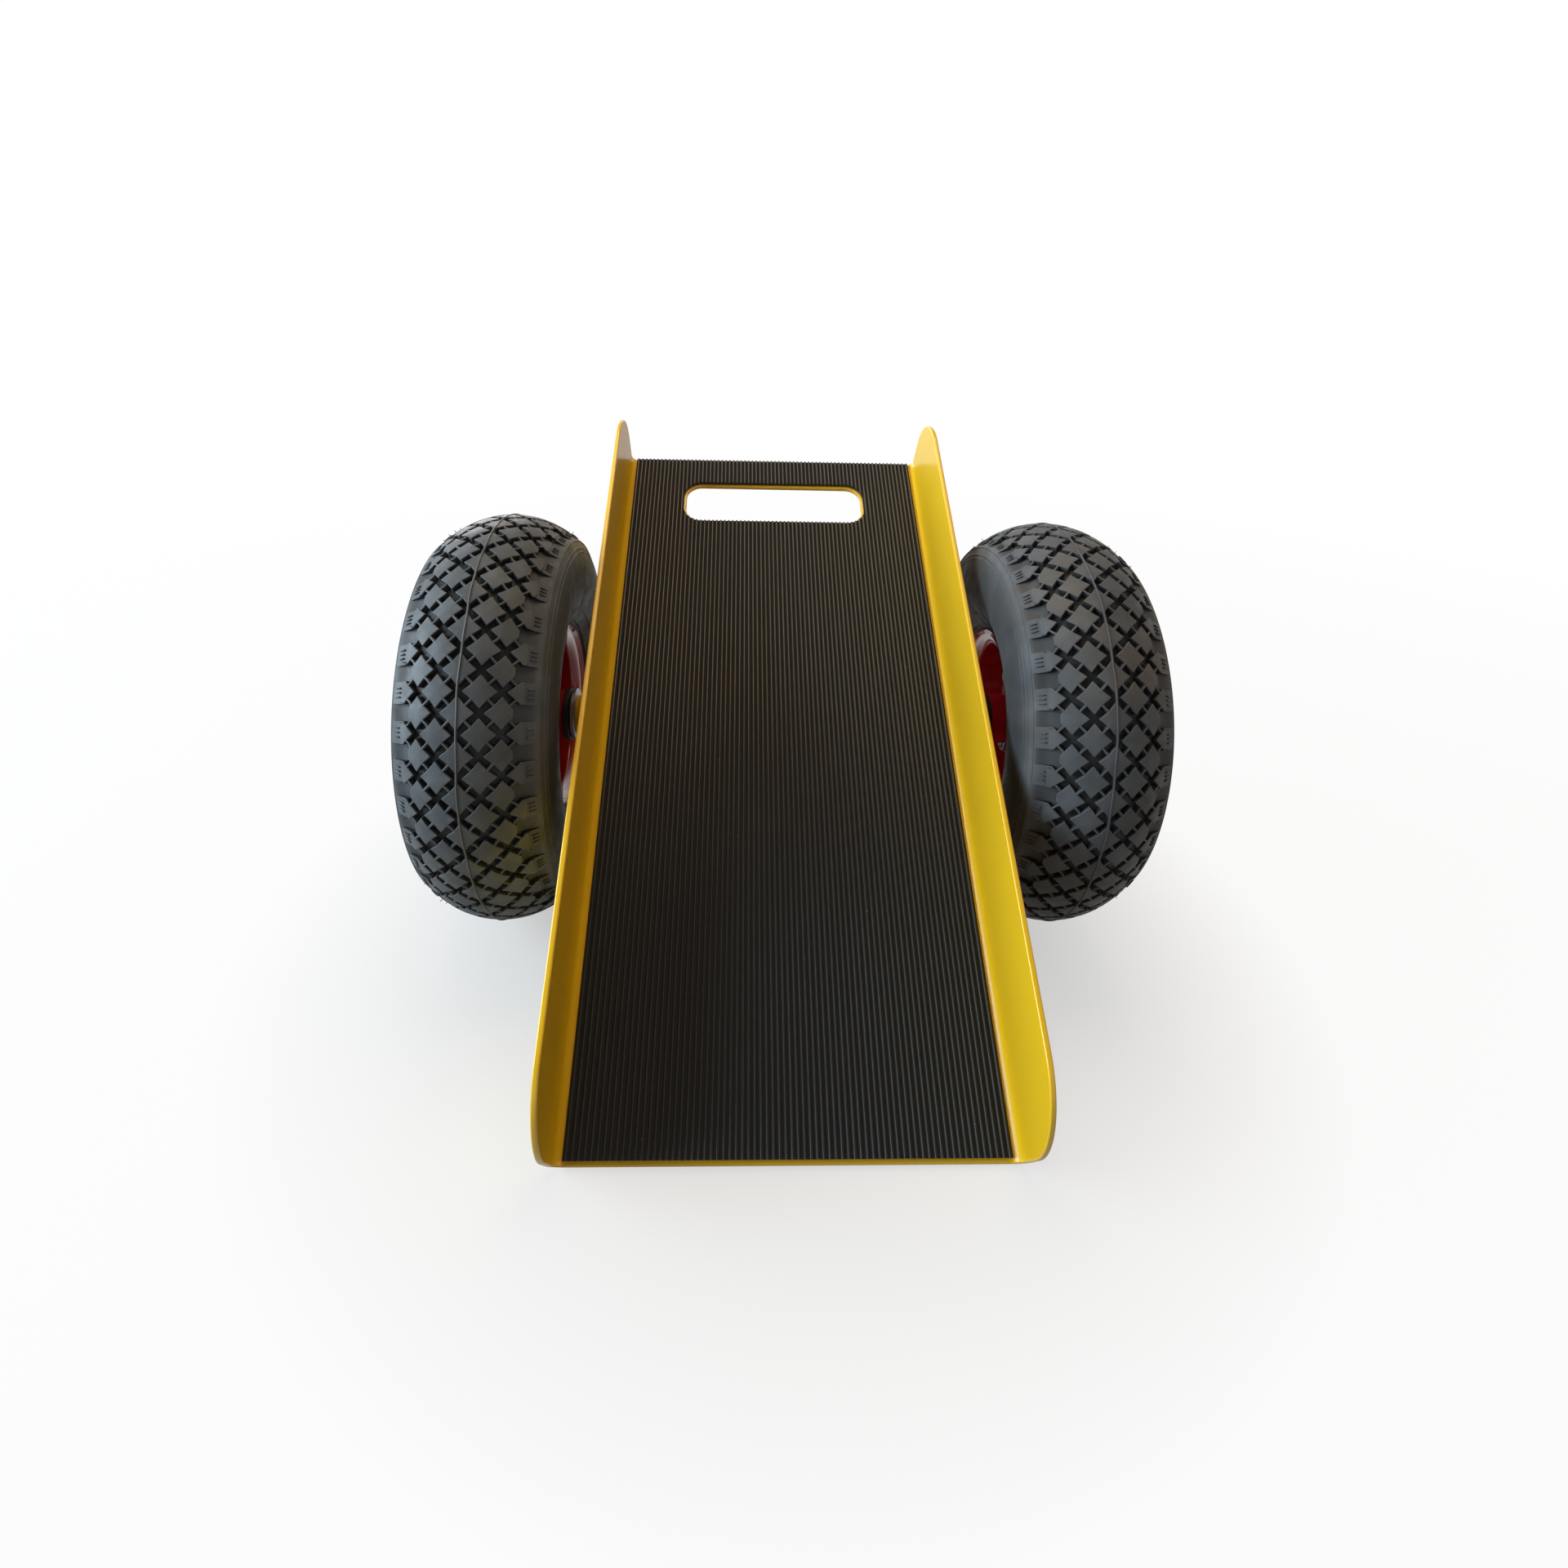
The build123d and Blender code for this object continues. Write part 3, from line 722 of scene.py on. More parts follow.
class Tread:
    """Sizes of one tyre and the places on its skin: u across from the seam, v round the tread, h outwards."""

    def __init__(self, s):
        low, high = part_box("right_tyre")
        self.s = s
        self.radius = (high.z - low.z) / 2
        self.pitch = math.tau * self.radius / s.pitches
        self.half = self.pitch / 2
        self.row = s.row
        self.long = math.hypot(s.row, self.half) / 2
        self.arm = self.long - s.bridge / 2
        self.cos = s.row / 2 / self.long
        self.sin = self.half / 2 / self.long
        self.top = -s.seam_height
        self.sag = self.top - s.bridge_sag
        self.crown = self.radius - s.crown_radius
        self.shoulder = s.crown_radius * s.shoulder_angle
        self.lug_edge = s.crown_radius * s.lug_angle
        self.cut = 2 * s.row + s.cut_reach
        self.lug_side = self.half - s.lug / 2
        self.widest = ((high.x - low.x) / 2, s.widest_radius)
        edge = self.section(self.shoulder)[:2]
        self.upper = self.arc_through(edge)
        self.lower = self.arc_through(BEAD_LIP)
        self.wide = self.shoulder + self.upper * self.arc_angle(edge, self.upper)
        self.end = self.wide + self.lower * self.arc_angle(BEAD_LIP, self.lower)

    def arc_through(self, point):
        """Radius of the arc that is upright at the widest point and passes through another."""
        dx = self.widest[0] - point[0]
        dr = self.widest[1] - point[1]
        return (dx * dx + dr * dr) / (2 * dx)

    def arc_angle(self, point, radius):
        """Angle of a point on such an arc, from the widest point."""
        return math.asin(abs(point[1] - self.widest[1]) / radius)

    def section(self, u):
        """Point (x, r) and outward angle, from the crown, at an arc length from the seam."""
        if u <= self.shoulder:
            turn = u / self.s.crown_radius
            radius = self.s.crown_radius
            return radius * math.sin(turn), self.crown + radius * math.cos(turn), turn
        if u <= self.wide:
            up = (self.wide - u) / self.upper
            x = self.widest[0] - self.upper * (1 - math.cos(up))
            return x, self.widest[1] + self.upper * math.sin(up), math.pi / 2 - up
        down = (u - self.wide) / self.lower
        x = self.widest[0] - self.lower * (1 - math.cos(down))
        return x, self.widest[1] - self.lower * math.sin(down), math.pi / 2 + down

    def outward(self, u):
        """Outward angle, eased over the shoulder's kink."""
        if abs(u - self.shoulder) >= SHOULDER_EASE:
            return self.section(u)[2]
        before = self.section(self.shoulder - SHOULDER_EASE)[2]
        after = self.section(self.shoulder + SHOULDER_EASE)[2]
        share = (u - self.shoulder + SHOULDER_EASE) / (2 * SHOULDER_EASE)
        return (1 - share) * before + share * after

    def round_to(self, x, r, v):
        """Point of the section turned about the axle by v."""
        turn = v / self.radius
        return Vector((x, -r * math.sin(turn), r * math.cos(turn)))

    def at(self, u, v, h):
        """Place on the tyre in the wheel's frame."""
        side = -1 if u < 0 else 1
        x, r, _ = self.section(abs(u))
        turn = self.outward(abs(u))
        return self.round_to(side * (x + h * math.sin(turn)), r + h * math.cos(turn), v)

    def inner(self, node, direction):
        """Tip of the block that lies in a direction from a node."""
        cos, sin = (self.cos, self.sin) if direction[0] else (self.sin, self.cos)
        slope = (self.s.arm_end - self.s.arm_root) / self.arm
        reach = self.s.arm_root / (sin - slope * cos)
        return node[0] + direction[0] * reach, node[1] + direction[1] * reach

    def mouth(self, node, su, sv):
        """Middle of the end of a node's arm."""
        return node[0] + su * self.arm * self.cos, node[1] + sv * self.arm * self.sin

    def corner(self, node, su, sv, toward):
        """Corner at the end of a node's arm, on the side of the block across ("u") or along ("v") from it."""
        u, v = self.mouth(node, su, sv)
        lean = self.s.arm_end if toward == "u" else -self.s.arm_end
        return u + su * self.sin * lean, v - sv * self.cos * lean

    def cut_tip(self):
        """Corner of the cut edge of an outermost block, on the side of +v."""
        u, v = self.corner((3 * self.row, 0), -1, 1, "u")
        return self.cut, v - (self.cut - u) * self.sin / self.cos


class Skin:
    """Collects faces of the tread, given by places on the tyre."""

    def __init__(self, tread):
        self.tread = tread
        self.bm = bmesh.new()
        self.verts = {}

    def vert(self, place):
        """Vertex at a place (u, v, h), made once."""
        key = tuple(round(c / WELD_DISTANCE) for c in place)
        if key not in self.verts:
            self.verts[key] = self.bm.verts.new(self.tread.at(*place))
        return self.verts[key]

    def face(self, *places):
        """A face whose corners are places."""
        verts = list(dict.fromkeys(self.vert(p) for p in places))
        if len(verts) > 2 and not self.bm.faces.get(verts):
            self.bm.faces.new(verts)

    def fan(self, outline, centre):
        """Triangles from a centre to an outline."""
        for a, b in zip(outline, outline[1:] + outline[:1]):
            self.face(centre, a, b)

    def wall(self, upper, lower):
        """Closed band between two outlines."""
        for i in range(len(upper)):
            j = (i + 1) % len(upper)
            self.face(upper[i], upper[j], lower[j], lower[i])


def shrunk(outline, centre, share, h):
    """Outline drawn in towards a centre and set to a height."""
    u0, v0 = centre
    return [(u0 + (u - u0) * share, v0 + (v - v0) * share, h) for u, v, _ in outline]


def lifted(points, h):
    """Flat points set to a height."""
    return [(u, v, h) for u, v in points]


def mirrored(places, side):
    """Places on the other side of the seam."""
    return [(side * p[0], *p[1:]) for p in places]


def star_block(skin, u, v, side=1, cut=False):
    """Top of a four-pointed block on one side of the seam; a cut takes off its outer tip."""
    t = skin.tread
    core = 0.55
    east, west = (u + t.row, v), (u - t.row, v)
    north, south = (u, v + t.half), (u, v - t.half)
    outline = [t.corner(north, 1, -1, "v"), t.inner(north, (0, -1)), t.corner(north, -1, -1, "v")]
    outline += [t.corner(west, 1, 1, "u"), t.inner(west, (1, 0)), t.corner(west, 1, -1, "u")]
    outline += [t.corner(south, -1, 1, "v"), t.inner(south, (0, 1)), t.corner(south, 1, 1, "v")]
    tip = [t.inner(east, (-1, 0))]
    if cut:
        tip_u, tip_v = t.cut_tip()
        tip = [(tip_u, -tip_v), (tip_u, tip_v)]
    outline += [t.corner(east, -1, -1, "u"), *tip, t.corner(east, -1, 1, "u")]
    outline = mirrored(lifted(outline, t.top), side)
    ring = shrunk(outline, (side * u, v), core, t.top)
    skin.wall(outline, ring)
    skin.fan(ring, (side * u, v, t.top))


def cross_pit(skin, node):
    """Pit with four widening arms round a node, and its walls."""
    t = skin.tread
    floor_share = 0.88
    arms = ((1, 1, "u", "v", (0, 1)), (-1, 1, "v", "u", (-1, 0)),
            (-1, -1, "u", "v", (0, -1)), (1, -1, "v", "u", (1, 0)))
    rim = []
    for su, sv, first, second, after in arms:
        rim.append((*t.corner(node, su, sv, first), t.top))
        rim.append((*t.mouth(node, su, sv), t.sag))
        rim.append((*t.corner(node, su, sv, second), t.top))
        rim.append((*t.inner(node, after), t.top))
    floor = shrunk(rim, node, floor_share, -t.s.depth)
    skin.wall(rim, floor)
    skin.fan(floor, (*node, -t.s.depth))


def bridge(skin, first, second, su, sv):
    """Low rib between two blocks, from one node's arm (su, sv) to the other node's."""
    t = skin.tread
    a = [t.corner(first, su, sv, "u"), t.mouth(first, su, sv), t.corner(first, su, sv, "v")]
    b = [t.corner(second, -su, -sv, "v"), t.mouth(second, -su, -sv), t.corner(second, -su, -sv, "u")]
    heights = (t.top, t.sag, t.top)
    a = [(*p, h) for p, h in zip(a, heights)]
    b = [(*p, h) for p, h in zip(b, heights)]
    for i in (0, 1):
        skin.face(a[i], a[i + 1], b[i + 1], b[i])


def lug_bank(t):
    """Edge of the lug, from the outer side of its tip to the ledge, on the side of +v."""
    low = t.corner((3 * t.row, t.pitch), -1, -1, "v")
    far = t.pitch - t.lug_side
    return low, (low[0] + (far - low[1]) * t.cos / t.sin, far), (t.lug_edge, far)


def shoulder_lug(skin, side):
    """Lug at the edge of the tread with the step and the ledge outside it, on one side."""
    t = skin.tread
    west = (2 * t.row, t.half)
    upper = [t.corner(west, 1, 1, "u"), *lug_bank(t)]
    lower = [(u, t.pitch - v) for u, v in reversed(upper)]
    outline = lifted([t.inner(west, (1, 0)), *upper, (t.lug_edge, t.half), *lower], t.top)
    centre = ((west[0] + t.lug_edge) / 2 + t.s.arm_end, t.half, t.top)
    skin.fan(mirrored(outline, side), mirrored([centre], side)[0])
    stations = (t.lug_side, t.half, t.pitch - t.lug_side)
    step = ((t.lug_edge, t.top), (t.lug_edge, -t.s.ledge_drop), (t.shoulder, 0))
    for v0, v1 in zip(stations, stations[1:]):
        for (u0, h0), (u1, h1) in zip(step, step[1:]):
            skin.face(*mirrored([(u0, v0, h0), (u0, v1, h0), (u1, v1, h1), (u1, v0, h1)], side))


def recess(skin, side):
    """Plain recess between two lugs, behind a cut block, with its walls, on one side."""
    t = skin.tread
    east = (3 * t.row, 0)
    bank = [(*t.cut_tip(), t.top), (*t.corner(east, -1, 1, "u"), t.top), (*t.mouth(east, -1, 1), t.sag)]
    bank += [(u, t.pitch - v, t.top) for u, v in lug_bank(t)]

    def floor(u):
        """Height of the recess's floor at a place across the tread."""
        share = max(u - t.cut, 0) / (t.shoulder - t.cut)
        return -t.s.depth * (1 - share ** t.s.recess_curve)

    width = t.shoulder - t.lug_edge
    rows = [t.lug_edge + width * k / RECESS_STEPS for k in range(RECESS_STEPS + 1)]
    bed = [(u, v, floor(u)) for u, v, _ in bank]
    for flip in (1, -1):
        top = [(u, flip * v, h) for u, v, h in bank]
        foot = [(u, flip * v, h) for u, v, h in bed]
        step = (t.lug_edge, flip * t.lug_side, -t.s.ledge_drop)
        for i in range(len(top) - 2):
            skin.face(*mirrored([top[i], top[i + 1], foot[i + 1], foot[i]], side))
        skin.face(*mirrored([top[-2], top[-1], step, foot[-1], foot[-2]], side))
        rise = [(u, step[1], floor(u)) for u in reversed(rows)]
        skin.face(*mirrored([step, *rise], side))
    other = [(u, -v, h) for u, v, h in reversed(bed)]
    skin.face(*mirrored([bank[0], (bank[0][0], -bank[0][1], t.top), other[-1], bed[0]], side))
    skin.face(*mirrored([*bed, (t.lug_edge, 0, floor(t.lug_edge)), *other], side))
    for u0, u1 in zip(rows, rows[1:]):
        for v0, v1 in ((t.lug_side, 0), (0, -t.lug_side)):
            corners = ((u0, v0), (u1, v0), (u1, v1), (u0, v1))
            skin.face(*mirrored([(u, v, floor(u)) for u, v in corners], side))


def wall_section(t):
    """Points (x, r) down the side wall with its raised rings, then round the bead and through the cavity."""
    profile = [(t.shoulder, 0.0), (t.end, 0.0)]
    rings = in_mm(WALL_RINGS)
    for middle, width, rise in rings:
        profile += [(middle + offset * width, share * rise) for offset, share in RING_SHAPE]
    for k in range(1, WALL_STEPS):
        u = t.shoulder + (t.end - t.shoulder) * k / WALL_STEPS
        if all(abs(u - middle) > width for middle, width, rise in rings):
            profile.append((u, 0.0))
    section = []
    for u, h in sorted(profile):
        x, r, turn = t.section(u)
        section.append((x + h * math.sin(turn), r + h * math.cos(turn)))
    return section + in_mm(BEAD + CAVITY)


def side_wall(skin, side):
    """Side wall, bead and half of the cavity, on one side."""
    t = skin.tread
    section = wall_section(t)
    columns = []
    for v in (-t.lug_side, 0, t.lug_side, t.half, t.pitch - t.lug_side):
        column = [skin.vert((side * t.shoulder, v, 0))]
        column += [skin.bm.verts.new(t.round_to(side * x, r, v)) for x, r in section[1:]]
        columns.append(column)
    for a, b in zip(columns, columns[1:]):
        for i in range(len(section) - 1):
            skin.bm.faces.new((a[i], a[i + 1], b[i + 1], b[i]))


def ledge_bars(skin, side):
    """Three fine bars along the axle on the ledge outside a lug."""
    t = skin.tread
    start = t.lug_edge + 1.2 * MM
    end = t.shoulder - 1.8 * MM
    half_bar = 0.4 * MM
    gap = 2.6 * MM
    foot = -1.6 * MM
    rise = 0.15 * MM
    for v in (t.half - gap, t.half, t.half + gap):
        plan = ((start, v - half_bar), (end, v - half_bar), (end, v + half_bar), (start, v + half_bar))
        wrap(skin.bm, [[t.at(side * u, w, h) for u, w in plan] for h in (foot, rise)])


def tread_tile(tread):
    """One pitch of the tyre, from bead to bead."""
    skin = Skin(tread)
    row, half = tread.row, tread.half
    star_block(skin, 0, 0)
    cross_pit(skin, (0, half))
    for side in SIDES.values():
        star_block(skin, row, half, side)
        star_block(skin, 2 * row, 0, side, cut=True)
        cross_pit(skin, (side * row, 0))
        cross_pit(skin, (side * 2 * row, half))
        for sv in (-1, 1):
            bridge(skin, (side * row, 0), (0, sv * half), -side, sv)
            bridge(skin, (side * row, 0), (side * 2 * row, sv * half), side, sv)
            bridge(skin, (side * 3 * row, 0), (side * 2 * row, sv * half), -side, sv)
        shoulder_lug(skin, side)
        recess(skin, side)
        side_wall(skin, side)
        ledge_bars(skin, side)
    return to_mesh(skin.bm, "tread_pitch")


def add_seam(bm, tread):
    """Mould seam round the crown, a little uneven."""
    steps = tread.s.pitches * SEAM_STEPS
    half = tread.s.seam_width / 2
    buried = 0.6 * MM
    foot = -tread.s.seam_height - buried
    knee = -0.55 * tread.s.seam_height
    section = [(-half, foot), (-0.7 * half, knee), (-0.2 * half, 0)]
    section += [(-x, h) for x, h in reversed(section)]
    rows = []
    for i in range(steps):
        turn = math.tau * i / steps
        drift = sum(size * math.sin(waves * turn + start) for size, waves, start in SEAM_WAVES) * MM
        v = turn * tread.radius
        rows.append([bm.verts.new(tread.round_to(x + drift, tread.radius + h, v)) for x, h in section])
    for a, b in zip(rows, rows[1:] + rows[:1]):
        for i in range(len(section)):
            j = (i + 1) % len(section)
            bm.faces.new((a[i], b[i], b[j], a[j]))


def round_block_edges(bm, tread):
    """Rounds the outer edges of blocks and lugs."""
    sharp = math.radians(50)
    inside = BEAD_LIP[1] + 20 * MM
    edges = [e for e in bm.edges if len(e.link_faces) == 2 and e.calc_face_angle_signed() > sharp]
    edges = [e for e in edges if min(v.co.yz.length for v in e.verts) > inside]
    bmesh.ops.bevel(bm, geom=edges, offset=tread.s.rounding, segments=1, profile=0.5, affect="EDGES",
                    clamp_overlap=True)


def paint_tread_shade(mesh, tread):
    """Painted shade as an attribute: 1 deep in the pits, 0 on the blocks, and in between on lug walls, recesses
    and side walls.
    """
    s = tread.s
    pit_floor = 0.6
    pit_start, pit_rise = 0.45, 0.7
    steep, bank_reach, bank_dark = 0.6, 1.4, 0.95
    recess_start, recess_rise, recess_dark = 0.14, 1.7, 0.4
    wall_dark, wall_fade = 0.6, 12 * MM
    margin = 1.5 * MM
    pits_end = s.crown_radius * math.sin(tread.cut / s.crown_radius) - margin
    shoulder = Vector(tread.section(tread.shoulder)[:2])
    tread_shade = mesh.attributes.new("tread_shade", "FLOAT", "CORNER")

    def depth(co):
        """How far a point lies under the crown."""
        return s.crown_radius - math.hypot(co.x, co.yz.length - tread.crown)

    for face in mesh.polygons:
        deepest = max(depth(mesh.vertices[i].co) for i in face.vertices)
        sunk = abs(face.center.x) < pits_end and deepest > pit_floor * s.depth
        away = Vector(face.center) - Vector((0, *face.center.yz.normalized() * tread.crown))
        bank = face.normal.dot(away.normalized()) < steep
        bank = bank and away.length > s.crown_radius - bank_reach * s.depth
        for corner in face.loop_indices:
            co = mesh.vertices[mesh.loops[corner].vertex_index].co
            low = depth(co) / s.depth
            # Painted shade: pits darken with depth, steep lug walls are dark, recesses darken with depth, side
            # walls darken towards the rim
            if sunk:
                dark = pit_start + pit_rise * low
            elif bank:
                dark = bank_dark
            elif abs(co.x) < shoulder.x:
                dark = min(recess_rise * (low - recess_start), recess_dark)
            else:
                dark = min(wall_dark * (shoulder.y - co.yz.length) / wall_fade, wall_dark)
            tread_shade.data[corner].value = min(max(dark, 0), 1)


def nib_points(tread):
    """Places and directions of the rubber nibs, at the outer corners of the lugs."""
    inset = 0.8 * MM
    root = 0.1 * MM
    points = []
    for i in range(tread.s.pitches):
        for side in SIDES.values():
            for v in (tread.lug_side + inset, tread.pitch - tread.lug_side - inset):
                place = (side * (tread.lug_edge - inset), v + i * tread.pitch)
                foot = tread.at(*place, tread.top - root)
                points.append((foot, (tread.at(*place, MM) - foot).normalized()))
    return points


def nib_mesh(s):
    """One nib, a little thinner at its end, along Z."""
    bm = bmesh.new()
    bmesh.ops.create_cone(bm, cap_ends=True, segments=6, radius1=s.nib_radius, radius2=0.6 * s.nib_radius,
                          depth=s.nib_length, matrix=Matrix.Translation((0, 0, s.nib_length / 2)))
    return to_mesh(bm, "nib")


def tyre_mesh(tread, material):
    """Whole tyre in the wheel's frame: the pitches in a ring, rounded edges and the mould seam."""
    ring = ring_of(tread_tile(tread), "tyre_ring", tread.s.pitches, material)
    bm = bmesh.new()
    bm.from_mesh(ring.data)
    bpy.data.objects.remove(ring)
    bmesh.ops.recalc_face_normals(bm, faces=bm.faces)
    round_block_edges(bm, tread)
    add_seam(bm, tread)
    bmesh.ops.recalc_face_normals(bm, faces=bm.faces)
    mesh = bpy.data.meshes.new("tyre")
    bm.to_mesh(mesh)
    bm.free()
    paint_tread_shade(mesh, tread)
    return mesh


# Welds and fasteners

# Foot and head of a weld's section, across and up in the axle's frame, and half its length
WELD_FOOT = Vector((9.85 * MM, 7.70 * MM))
WELD_HEAD = Vector((11.0 * MM, 12.5 * MM))
WELD_REACH = 106 * MM
WELD_BEADS = 100
BEAD_LEAN = 0.25
BEAD_SIZE = (2.7 * MM, 2.7 * MM, 1.0 * MM)
# Places along the axle, from the middle plane of the wheel outwards
HEAD = (2.0 * MM, 7.3 * MM)
NUT = (-3.6 * MM, -10.1 * MM)
WASHER = (-3.6 * MM, -2.0 * MM)
SHANK = (2.5 * MM, -3.0 * MM)
THREAD_START = -3.2 * MM
# End of the bolt: place, and how far it is drawn in, in mm
BOLT_TAIL = ((-11.0, 0.1), (-11.6, 0.8))
THREADS = 6
THREAD_PITCH = 1.25 * MM
THREAD_DEPTH = 0.55 * MM
HEX_STEPS = 60
HEX_CIRCLE = 0.95
HEX_CHAMFER = math.tan(math.radians(30))
WASHER_RADII = (4.3 * MM, 8.0 * MM)
WASHER_EDGE = 0.25 * MM
# Section (x, r) of a hub seal, section of a valve cap, and rows (x, top) along a rib of it, in mm
SEAL = ((27, 10.3), (27, 14.03), (30, 14.03), (30, 16.7), (30.3, 16.98), (33.2, 16.98), (33.9, 16.8),
        (34.35, 16.3), (34.5, 15.6), (34.5, 13.6), (34.1, 13.2), (34.1, 12.4), (34.5, 12.0),
        (34.5, 10.6), (34.2, 10.3))
CAP = ((0.0, 4.0), (0.0, 4.45), (0.5, 4.7), (1.2, 4.7), (1.5, 4.4), (9.2, 4.3), (10.2, 4.0),
       (10.8, 3.3), (11.0, 2.6))
CAP_RIB = ((1.3, 4.72), (8.6, 4.72), (9.4, 4.2))
CAP_RIB_FOOT = (0.42, 3.9)
CAP_RIB_HALF = 0.3
VALVE_FOOT = (15 * MM, 0, 50.8 * MM)
VALVE_LENGTH = 26 * MM


def weld_points():
    """Places and directions of the beads along both welds of the axle tube, in the axle's frame."""
    across, up = (WELD_FOOT + WELD_HEAD) / 2
    slope = (WELD_HEAD - WELD_FOOT).normalized()
    points = []
    for side in SIDES.values():
        for i in range(WELD_BEADS + 1):
            x = WELD_REACH * (2 * i / WELD_BEADS - 1)
            points.append(((x, side * across, up), (BEAD_LEAN, side * slope.y, -slope.x)))
    return points


def bead_mesh():
    """One bead of a weld, a flat round drop along Z."""
    bm = bmesh.new()
    shape = Matrix.Diagonal((*BEAD_SIZE, 1))
    bmesh.ops.create_uvsphere(bm, u_segments=10, v_segments=5, radius=1, matrix=shape)
    return to_mesh(bm, "bead")


def hexagon(x0, x1, flats, height, both=False):
    """Loops of a hexagon along X whose outer end, or both ends, are chamfered to a circle."""
    circle = HEX_CIRCLE * flats / 2
    turns = [math.tau * i / HEX_STEPS for i in range(HEX_STEPS)]
    corners = [flats / 2 / math.cos(t % (math.pi / 3) - math.pi / 6) for t in turns]
    ends = [circle] * HEX_STEPS
    slope = math.copysign(HEX_CHAMFER, x1 - x0)

    def loop(x, slant, radii):
        """Points round the line at their radii, drawn back where they pass the circle."""
        places = zip(turns, radii)
        return [(x - slant * (r - circle), r * math.cos(t), height + r * math.sin(t)) for t, r in places]

    loops = [loop(x0, -slope if both else 0, corners), loop(x1, slope, corners), loop(x1, 0, ends)]
    if both:
        loops.insert(0, loop(x0, 0, ends))
    return loops


def bolt_mesh(s):
    """Hexagon bolt from outside through both rim halves, with a threaded tail."""
    bm = bmesh.new()
    wrap(bm, hexagon(*HEAD, s.flats, s.bolt_circle))
    profile = [(x, s.thread) for x in SHANK]
    for i in range(THREADS):
        x = THREAD_START - i * THREAD_PITCH
        profile += [(x, s.thread), (x - THREAD_PITCH / 2, s.thread - THREAD_DEPTH)]
    profile += [(x, s.thread - drawn) for x, drawn in in_mm(BOLT_TAIL)]
    wrap(bm, circles(profile, s.bolt_circle, steps=32))
    return to_mesh(bm, "bolt")


def nut_mesh(s):
    """Hexagon nut, chamfered on both faces."""
    bm = bmesh.new()
    body = hexagon(*NUT, s.flats, s.bolt_circle, both=True)
    bore = circles([(x, s.thread) for x in reversed(NUT)], s.bolt_circle, HEX_STEPS)
    wrap(bm, body + bore, ring=True)
    return to_mesh(bm, "nut")


def washer_mesh(s):
    """Plain washer with softened edges."""
    bm = bmesh.new()
    edge = WASHER_EDGE
    (x0, x1), (r0, r1) = WASHER, WASHER_RADII
    profile = [(x0, r0), (x0, r1 - edge), (x0 + edge, r1), (x1 - edge, r1), (x1, r1 - edge), (x1, r0)]
    wrap(bm, circles(profile, s.bolt_circle), ring=True)
    return to_mesh(bm, "washer")


def seal_mesh():
    """Both rubber seals of a hub, with rounded lips."""
    bm = bmesh.new()
    for side in SIDES.values():
        wrap(bm, circles([(side * x, r) for x, r in in_mm(SEAL)]), ring=True)
    return to_mesh(bm, "seal")


def cap_meshes():
    """Valve cap along X and one of the ribs round it."""
    core = bmesh.new()
    wrap(core, circles(in_mm(CAP), steps=40))
    rib = bmesh.new()
    loops = []
    foot_half, foot = CAP_RIB_FOOT
    for x, top in CAP_RIB:
        plan = ((-foot_half, foot), (-CAP_RIB_HALF, top), (CAP_RIB_HALF, top), (foot_half, foot))
        loops.append(in_mm((x, y, z) for y, z in plan))
    wrap(rib, loops)
    return to_mesh(core, "cap_core"), to_mesh(rib, "cap_rib")


def valve_frame(s):
    """Frame of the valve cap in the wheel's frame, with X along the valve."""
    line = Matrix.Translation(VALVE_FOOT) @ Matrix.Rotation(s.valve_lean, 4, "Y")
    return Matrix.Rotation(s.valve_turn, 4, "X") @ line @ Matrix.Translation((VALVE_LENGTH, 0, 0))


# Stage

# Name, place, size in metres, watts and colour
LAMPS = (
    ("window", (-1.9, -0.2, 0.8), 1.4, 70, (0.70, 0.88, 1.0)),
    ("ceiling", (0.0, 0.3, 1.7), 0.9, 12, (1.0, 0.80, 0.56)),
    ("room", (1.1, -0.9, 1.1), 1.6, 1.5, (1.0, 0.86, 0.72)),
    ("far window", (-0.8, 1.6, 0.62), 0.7, 9, (0.9, 0.92, 1.0)),
)
# Width of the camera's frame in mm, and the nearest distance that it shows
FRAME_WIDTH = 36
NEAREST = 0.01
FLOOR_RADIUS = 6
# Distances from the middle at which the floor is shaded, pale and white
FLOOR_UNDER, FLOOR_BESIDE, FLOOR_AWAY = 0.12, 0.34, 1.6
# Directions, front to back, between which the ceiling's colour changes
CEILING_SPAN = (-0.45, 0.35)


def set_camera(s):
    """Camera at the photograph's place."""
    data = bpy.data.cameras.new("camera")
    data.lens = s.lens
    data.sensor_width = FRAME_WIDTH
    data.shift_x = s.shift_x
    data.shift_y = s.shift_y
    data.clip_start = NEAREST
    turn = Matrix.Rotation(s.yaw, 3, "Z") @ Matrix.Rotation(-s.pitch, 3, "X")
    turn = turn @ Matrix.Rotation(s.roll, 3, "Y")
    axes = Matrix((turn.col[0], turn.col[2], -turn.col[1])).transposed()
    made = to_object(data, "camera")
    made.matrix_world = Matrix.LocRotScale(TRAY @ Vector(s.eye), TRAY.to_3x3() @ axes, None)
    bpy.context.scene.camera = made


